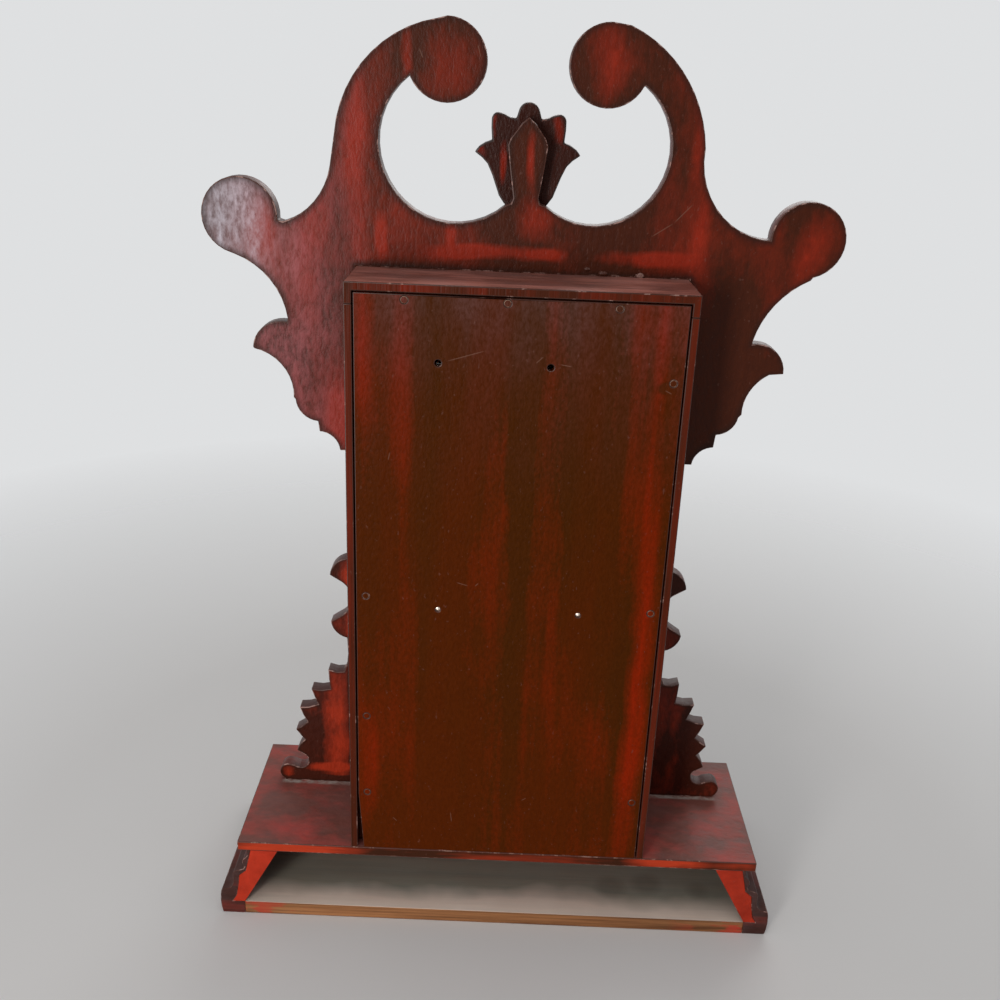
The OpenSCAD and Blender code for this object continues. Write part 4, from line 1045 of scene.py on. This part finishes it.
# %% Rows along a path
def row_tree():
    """Builds the tree and returns it with its inputs' identifiers."""
    tree = bpy.data.node_groups.new("row_along_path", "GeometryNodeTree")
    tree.interface.new_socket("Path", in_out="INPUT", socket_type="NodeSocketGeometry")
    inputs = {}
    for label, kind in (("Spacing", "Float"), ("Shape", "Object"), ("Finish", "Material")):
        socket = tree.interface.new_socket(label, in_out="INPUT", socket_type="NodeSocket" + kind)
        inputs[label] = socket.identifier
    tree.interface.new_socket("Row", in_out="OUTPUT", socket_type="NodeSocketGeometry")
    entry, leave = tree.nodes.new("NodeGroupInput"), tree.nodes.new("NodeGroupOutput")
    curve = tree.nodes.new("GeometryNodeMeshToCurve")
    steps = tree.nodes.new("GeometryNodeResampleCurve")
    steps.mode = "LENGTH"
    shape = tree.nodes.new("GeometryNodeObjectInfo")
    tangent = tree.nodes.new("GeometryNodeInputTangent")
    turn = tree.nodes.new("FunctionNodeAlignRotationToVector")
    turn.axis, turn.pivot_axis = "X", "Y"
    place = tree.nodes.new("GeometryNodeInstanceOnPoints")
    real = tree.nodes.new("GeometryNodeRealizeInstances")
    paint = tree.nodes.new("GeometryNodeSetMaterial")
    link = tree.links.new
    link(entry.outputs["Path"], curve.inputs["Mesh"])
    link(curve.outputs[0], steps.inputs["Curve"])
    link(entry.outputs["Spacing"], steps.inputs["Length"])
    link(entry.outputs["Shape"], shape.inputs["Object"])
    link(tangent.outputs[0], turn.inputs["Vector"])
    link(steps.outputs[0], place.inputs["Points"])
    link(shape.outputs["Geometry"], place.inputs["Instance"])
    link(turn.outputs[0], place.inputs["Rotation"])
    link(place.outputs[0], real.inputs[0])
    link(real.outputs[0], paint.inputs["Geometry"])
    link(entry.outputs["Finish"], paint.inputs["Material"])
    link(paint.outputs[0], leave.inputs[0])
    return tree, inputs


ROW, ROW_INPUT = row_tree()


def row(lines, face_y, spacing, shape, finish, closed=False):
    """Walks the lines (mm, on the plane face_y) and returns the baked row as a mesh."""
    verts, edges = [], []
    for line in lines:
        start = len(verts)
        verts += [(x * MM, face_y * MM, z * MM) for x, z in line]
        edges += [(i, i + 1) for i in range(start, len(verts) - 1)]
        if closed:
            edges.append((len(verts) - 1, start))
    path = bpy.data.meshes.new("row_path")
    path.from_pydata(verts, edges, [])
    guide = bpy.data.objects.new("row_path", path)
    scene.collection.objects.link(guide)
    walk = guide.modifiers.new("row", "NODES")
    walk.node_group = ROW
    walk[ROW_INPUT["Spacing"]] = spacing * MM
    walk[ROW_INPUT["Shape"]] = shape
    walk[ROW_INPUT["Finish"]] = finish
    baked = bpy.data.meshes.new_from_object(guide.evaluated_get(bpy.context.evaluated_depsgraph_get()))
    bpy.data.objects.remove(guide)
    return baked


def gather(name, rows, finish, body):
    """Joins baked rows of one finish into one piece."""
    work = bmesh.new()
    for baked in rows:
        work.from_mesh(baked)
    for face in work.faces:
        face.material_index = 0
    shape = bpy.data.meshes.new(name)
    work.to_mesh(shape)
    work.free()
    shape.materials.append(finish)
    add_piece(name, shape, body)
    print(name, len(shape.polygons), "faces")


print("a row is set by", sorted(ROW_INPUT))

# %% [markdown]
# A string of pearls follows each scroll of the crest, and ten petals stand round each
# rosette. Both are low domes, pressed with the ribs. A dome with a flat, smaller top is
# enough at this size, and it is closed all round.

# %% Pearls and petals
DOME_TOP = 0.55
PETAL_RING = 10.6
PETALS = 10
templates = []


def small_shape(name, outline, height, top=1):
    """A small relief: an outline (x along the path, z across, in mm) raised towards -Y to a scaled top."""
    count = len(outline)
    levels = ((0, 1), (-height, top))
    verts = [(x * size * MM, y * MM, z * size * MM) for y, size in levels for x, z in outline]
    faces = [(i, (i + 1) % count, count + (i + 1) % count, count + i) for i in range(count)]
    faces += [tuple(range(count)), tuple(range(count, 2 * count))]
    piece = bpy.data.objects.new(name, closed_mesh(name, [(verts, faces)]))
    scene.collection.objects.link(piece)
    templates.append(piece)
    return piece


def ellipse(half_x, half_z, steps, z=0):
    """Points of an oval round (0, z)."""
    turn = [2 * math.pi * i / steps for i in range(steps)]
    return [(half_x * math.cos(t), z + half_z * math.sin(t)) for t in turn]


pearl = small_shape("pearl", ellipse(1.7, 1.7, 10), 1.1, DOME_TOP)
petal = small_shape("petal", [(0, -4.6), (1.7, -1.5), (2.3, 1.6), (0, 4.4), (-2.3, 1.6), (-1.7, -1.5)],
                    1.0, DOME_TOP)
pearl_lines = [arc_points(39.3, CASE_TOP + 67, 55, 70, -4, 20)]
pearl_lines += flipped([arc_points(31.5, CASE_TOP + 66, 56.4, 64, -2, 20)])
petal_rings = rings(ROSETTES, [PETAL_RING], 345, 23) + flipped(rings(SLIM_ROSETTES, [PETAL_RING], 345, 23))
petal_gap = 2 * math.pi * PETAL_RING / PETALS
gather("pressed_rows", [row(pearl_lines, CREST_FRONT, 4.4, pearl, sawn_paint),
                        row(petal_rings, CREST_FRONT, petal_gap, petal, sawn_paint, True)],
       sawn_paint, "case")

# %% [markdown]
# The dial paper is printed: a minute track of two rings and sixty marks, and twelve
# upright figures. Roman figures are only thick and thin bars, so a list of bars for I, V
# and X makes all of them, and no font is needed. The ink is a flat film with a real edge.

# %% Dial figures
DIAL_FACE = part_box("dial_pan")[0].y / MM
DIAL_Z = (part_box("dial_pan")[0].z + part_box("dial_pan")[1].z) / 2 / MM
INK_HEIGHT = 0.06
INK_LEVELS = (DIAL_FACE + 0.02, DIAL_FACE - INK_HEIGHT)
THICK, THIN = 1.5, 0.5
LETTER = {"I": (3.0, [(1.5, 1.5, THICK)]), "V": (6.4, [(1.2, 3.2, THICK), (5.2, 3.2, THIN)]),
          "X": (6.8, [(1.2, 5.6, THICK), (5.6, 1.2, THIN)])}
FIGURES = ["XII", "I", "II", "III", "IIII", "V", "VI", "VII", "VIII", "IX", "X", "XI"]
FIGURE_OUT, FIGURE_IN = 56.0, 42.0
SERIF_HALF = 0.25
SERIF_SHORT = 0.3
HOOPS = (57.8, 61.6)
HOOP_WIDTH = 0.3


def ink_bar(foot, low, top, high, half, angle):
    """A flat bar from radius low to high, 2 * half wide, turned round the dial's middle by an angle."""
    corners = [(foot - half, low), (foot + half, low), (top + half, high), (top - half, high)]
    cos, sin = math.cos(angle), math.sin(angle)
    flat = [(x * cos + r * sin, DIAL_Z - x * sin + r * cos) for x, r in corners]
    verts = [(x * MM, y * MM, z * MM) for y in INK_LEVELS for x, z in flat]
    faces = [(i, (i + 1) % 4, 4 + (i + 1) % 4, 4 + i) for i in range(4)]
    return verts, [(4, 5, 6, 7), (0, 1, 2, 3)] + faces


def ink_hoop(inner, outer, steps):
    """A flat ring of ink round the dial's middle."""
    back, front = INK_LEVELS
    section = [(inner, back), (outer, back), (outer, front), (inner, front)]
    verts, faces = [], []
    for i in range(steps):
        t = 2 * math.pi * i / steps
        verts += [(r * math.cos(t) * MM, y * MM, (DIAL_Z + r * math.sin(t)) * MM) for r, y in section]
        here, ahead = 4 * i, 4 * ((i + 1) % steps)
        faces += [(here + j, here + (j + 1) % 4, ahead + (j + 1) % 4, ahead + j) for j in range(4)]
    return verts, faces


def figure(text, angle):
    """The bars of one figure, and a thin line across all their tops and feet."""
    wide = sum(LETTER[c][0] for c in text)
    start, bars = -wide / 2, []
    for c in text:
        advance, strokes = LETTER[c]
        bars += [ink_bar(start + foot, FIGURE_IN, start + top, FIGURE_OUT, thick / 2, angle)
                 for top, foot, thick in strokes]
        start += advance
    for r in (FIGURE_OUT, FIGURE_IN):
        bars.append(ink_bar(0, r - SERIF_HALF, 0, r + SERIF_HALF, wide / 2 - SERIF_SHORT, angle))
    return bars


ink = Finish("printing_ink")
ink.set("Base Color", blend(ink.cloud((300, 300, 300), 2), (0.012, 0.011, 0.01), (0.03, 0.026, 0.022)))
ink.set("Roughness", 0.55)
printed = [bar for hour, text in enumerate(FIGURES) for bar in figure(text, math.radians(30 * hour))]
printed += [ink_hoop(radius, radius + HOOP_WIDTH, 120) for radius in HOOPS]
dial_figures = closed_mesh("dial_figures", printed)
dial_figures.materials.append(ink.material)
add_piece("dial_figures", dial_figures, "case")
print("bars and hoops on the dial", len(printed))

# %% [markdown]
# The minute track lies between the two rings: a stroke for each minute and a lozenge for
# each hour. The path is a polygon of 120 sides, so the spacing is a share of its length and
# not of the circle's, which would leave a gap at twelve.

# %% Minute track
TRACK = 59.9
TRACK_SIDES = 120
OVER_MINUTES = 0.01
minute_mark = small_shape("minute_mark", [(-0.2, -1.7), (0.2, -1.7), (0.2, 1.7), (-0.2, 1.7)], INK_HEIGHT)
hour_mark = small_shape("hour_mark", [(-0.7, 0), (0, -1.7), (0.7, 0), (0, 1.7)], INK_HEIGHT)
track = [arc_points(0, DIAL_Z, TRACK, 90, 447, TRACK_SIDES - 1)]
around = TRACK_SIDES * 2 * TRACK * math.sin(math.pi / TRACK_SIDES)
gather("minute_track", [row(track, DIAL_FACE, around / 60, minute_mark, ink.material, True),
                        row(track, DIAL_FACE - OVER_MINUTES, around / 12, hour_mark, ink.material, True)],
       ink.material, "case")

# %% [markdown]
# The lower glass carries a gilt stencil: a generic border with a wreath of leaves. Gold
# size was dabbed through a cut card on the inner face, so the leaves are thin flat shapes
# just behind the glass, in rows again.

# %% Gilt stencil
GLASS_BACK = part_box("door_glass")[1].y / MM + 0.02
GILT = 0.05
BORDER_IN = 8
BELOW_DIAL = 84
LINE_GAP = 4


def border(half_wide, low, high):
    """A rectangle as one closed line."""
    return [[(-half_wide, low), (half_wide, low), (half_wide, high), (-half_wide, high)]]


LOW, HIGH, WIDE = IN_LOW + BORDER_IN, DIAL_Z - BELOW_DIAL, IN_X - BORDER_IN
MIDDLE = (LOW + HIGH) / 2
leaf = small_shape("leaf", [(-4.2, 0), (-1.6, 1.7), (1.2, 1.6), (4.2, 0), (1.2, -1.6), (-1.6, -1.7)], -GILT)
twin = small_shape("twin_leaf", [(0, 0.4), (2.2, 3.0), (1.6, 6.4), (-0.6, 3.8)], -GILT)
dot = small_shape("dot", ellipse(1.0, 1.0, 10), -GILT)
dash = small_shape("dash", [(-2.2, -0.35), (2.2, -0.35), (2.2, 0.35), (-2.2, 0.35)], -GILT)
outer_line = border(WIDE, LOW, HIGH)
inner_line = border(WIDE - LINE_GAP, LOW + LINE_GAP, HIGH - LINE_GAP)
wreath, inner_wreath = [ellipse(36, 50, 60, MIDDLE)], [ellipse(27, 40, 60, MIDDLE)]
sprigs = raised([[(62, 74), (55, 68), (46, 69)], [(66, 70), (65, 60), (67, 50)]], DIAL_Z)
STENCIL = [(outer_line, 4.4, dash, True), (inner_line, 5, dot, True), (wreath, 9, leaf, True),
           (wreath, 6, twin, True), (inner_wreath, 5.2, dot, True),
           (sprigs + flipped(sprigs), 7, leaf, False)]
stencil_rows = [row(lines, GLASS_BACK, gap, shape, gilt, closed) for lines, gap, shape, closed in STENCIL]
gather("gilt_stencil", stencil_rows, gilt, "door")
for template in templates:
    bpy.data.objects.remove(template)

# %% [markdown]
# The stage is a plain pale floor that fades into the room a metre away, so that no
# horizon cuts the picture. It isn't part of the clock.

# %% Floor
FLOOR_HALF = 3.0
FADE_FROM, FADE_TO = 0.35, 1.0
floor_mesh = bpy.data.meshes.new("floor")
square = [(-1, -1), (1, -1), (1, 1), (-1, 1)]
floor_mesh.from_pydata([(x * FLOOR_HALF, y * FLOOR_HALF, 0) for x, y in square], [], [(0, 1, 2, 3)])
floor = bpy.data.objects.new("floor", floor_mesh)
scene.collection.objects.link(floor)
pale = Finish("pale_floor")
pale.set("Base Color", blend(pale.cloud((3, 3, 3), 1), (0.7, 0.69, 0.68), (0.73, 0.72, 0.71)))
pale.set("Roughness", 0.7)
pale.set("Specular IOR Level", 0.1)
far = calc("SQRT", calc("POWER", pale.along(0), 2) + calc("POWER", pale.along(1), 2))
fade = pale.tree.nodes.new("ShaderNodeMixShader")
put(fade.inputs[0], far.span(FADE_FROM, FADE_TO))
pale.tree.links.new(pale.shader.outputs[0], fade.inputs[1])
pale.tree.links.new(pale.tree.nodes.new("ShaderNodeBsdfTransparent").outputs[0], fade.inputs[2])
pale.tree.links.new(fade.outputs[0], pale.tree.nodes["Material Output"].inputs["Surface"])
floor_mesh.materials.append(pale.material)
print("floor", 2 * FLOOR_HALF, "m wide")

# %% [markdown]
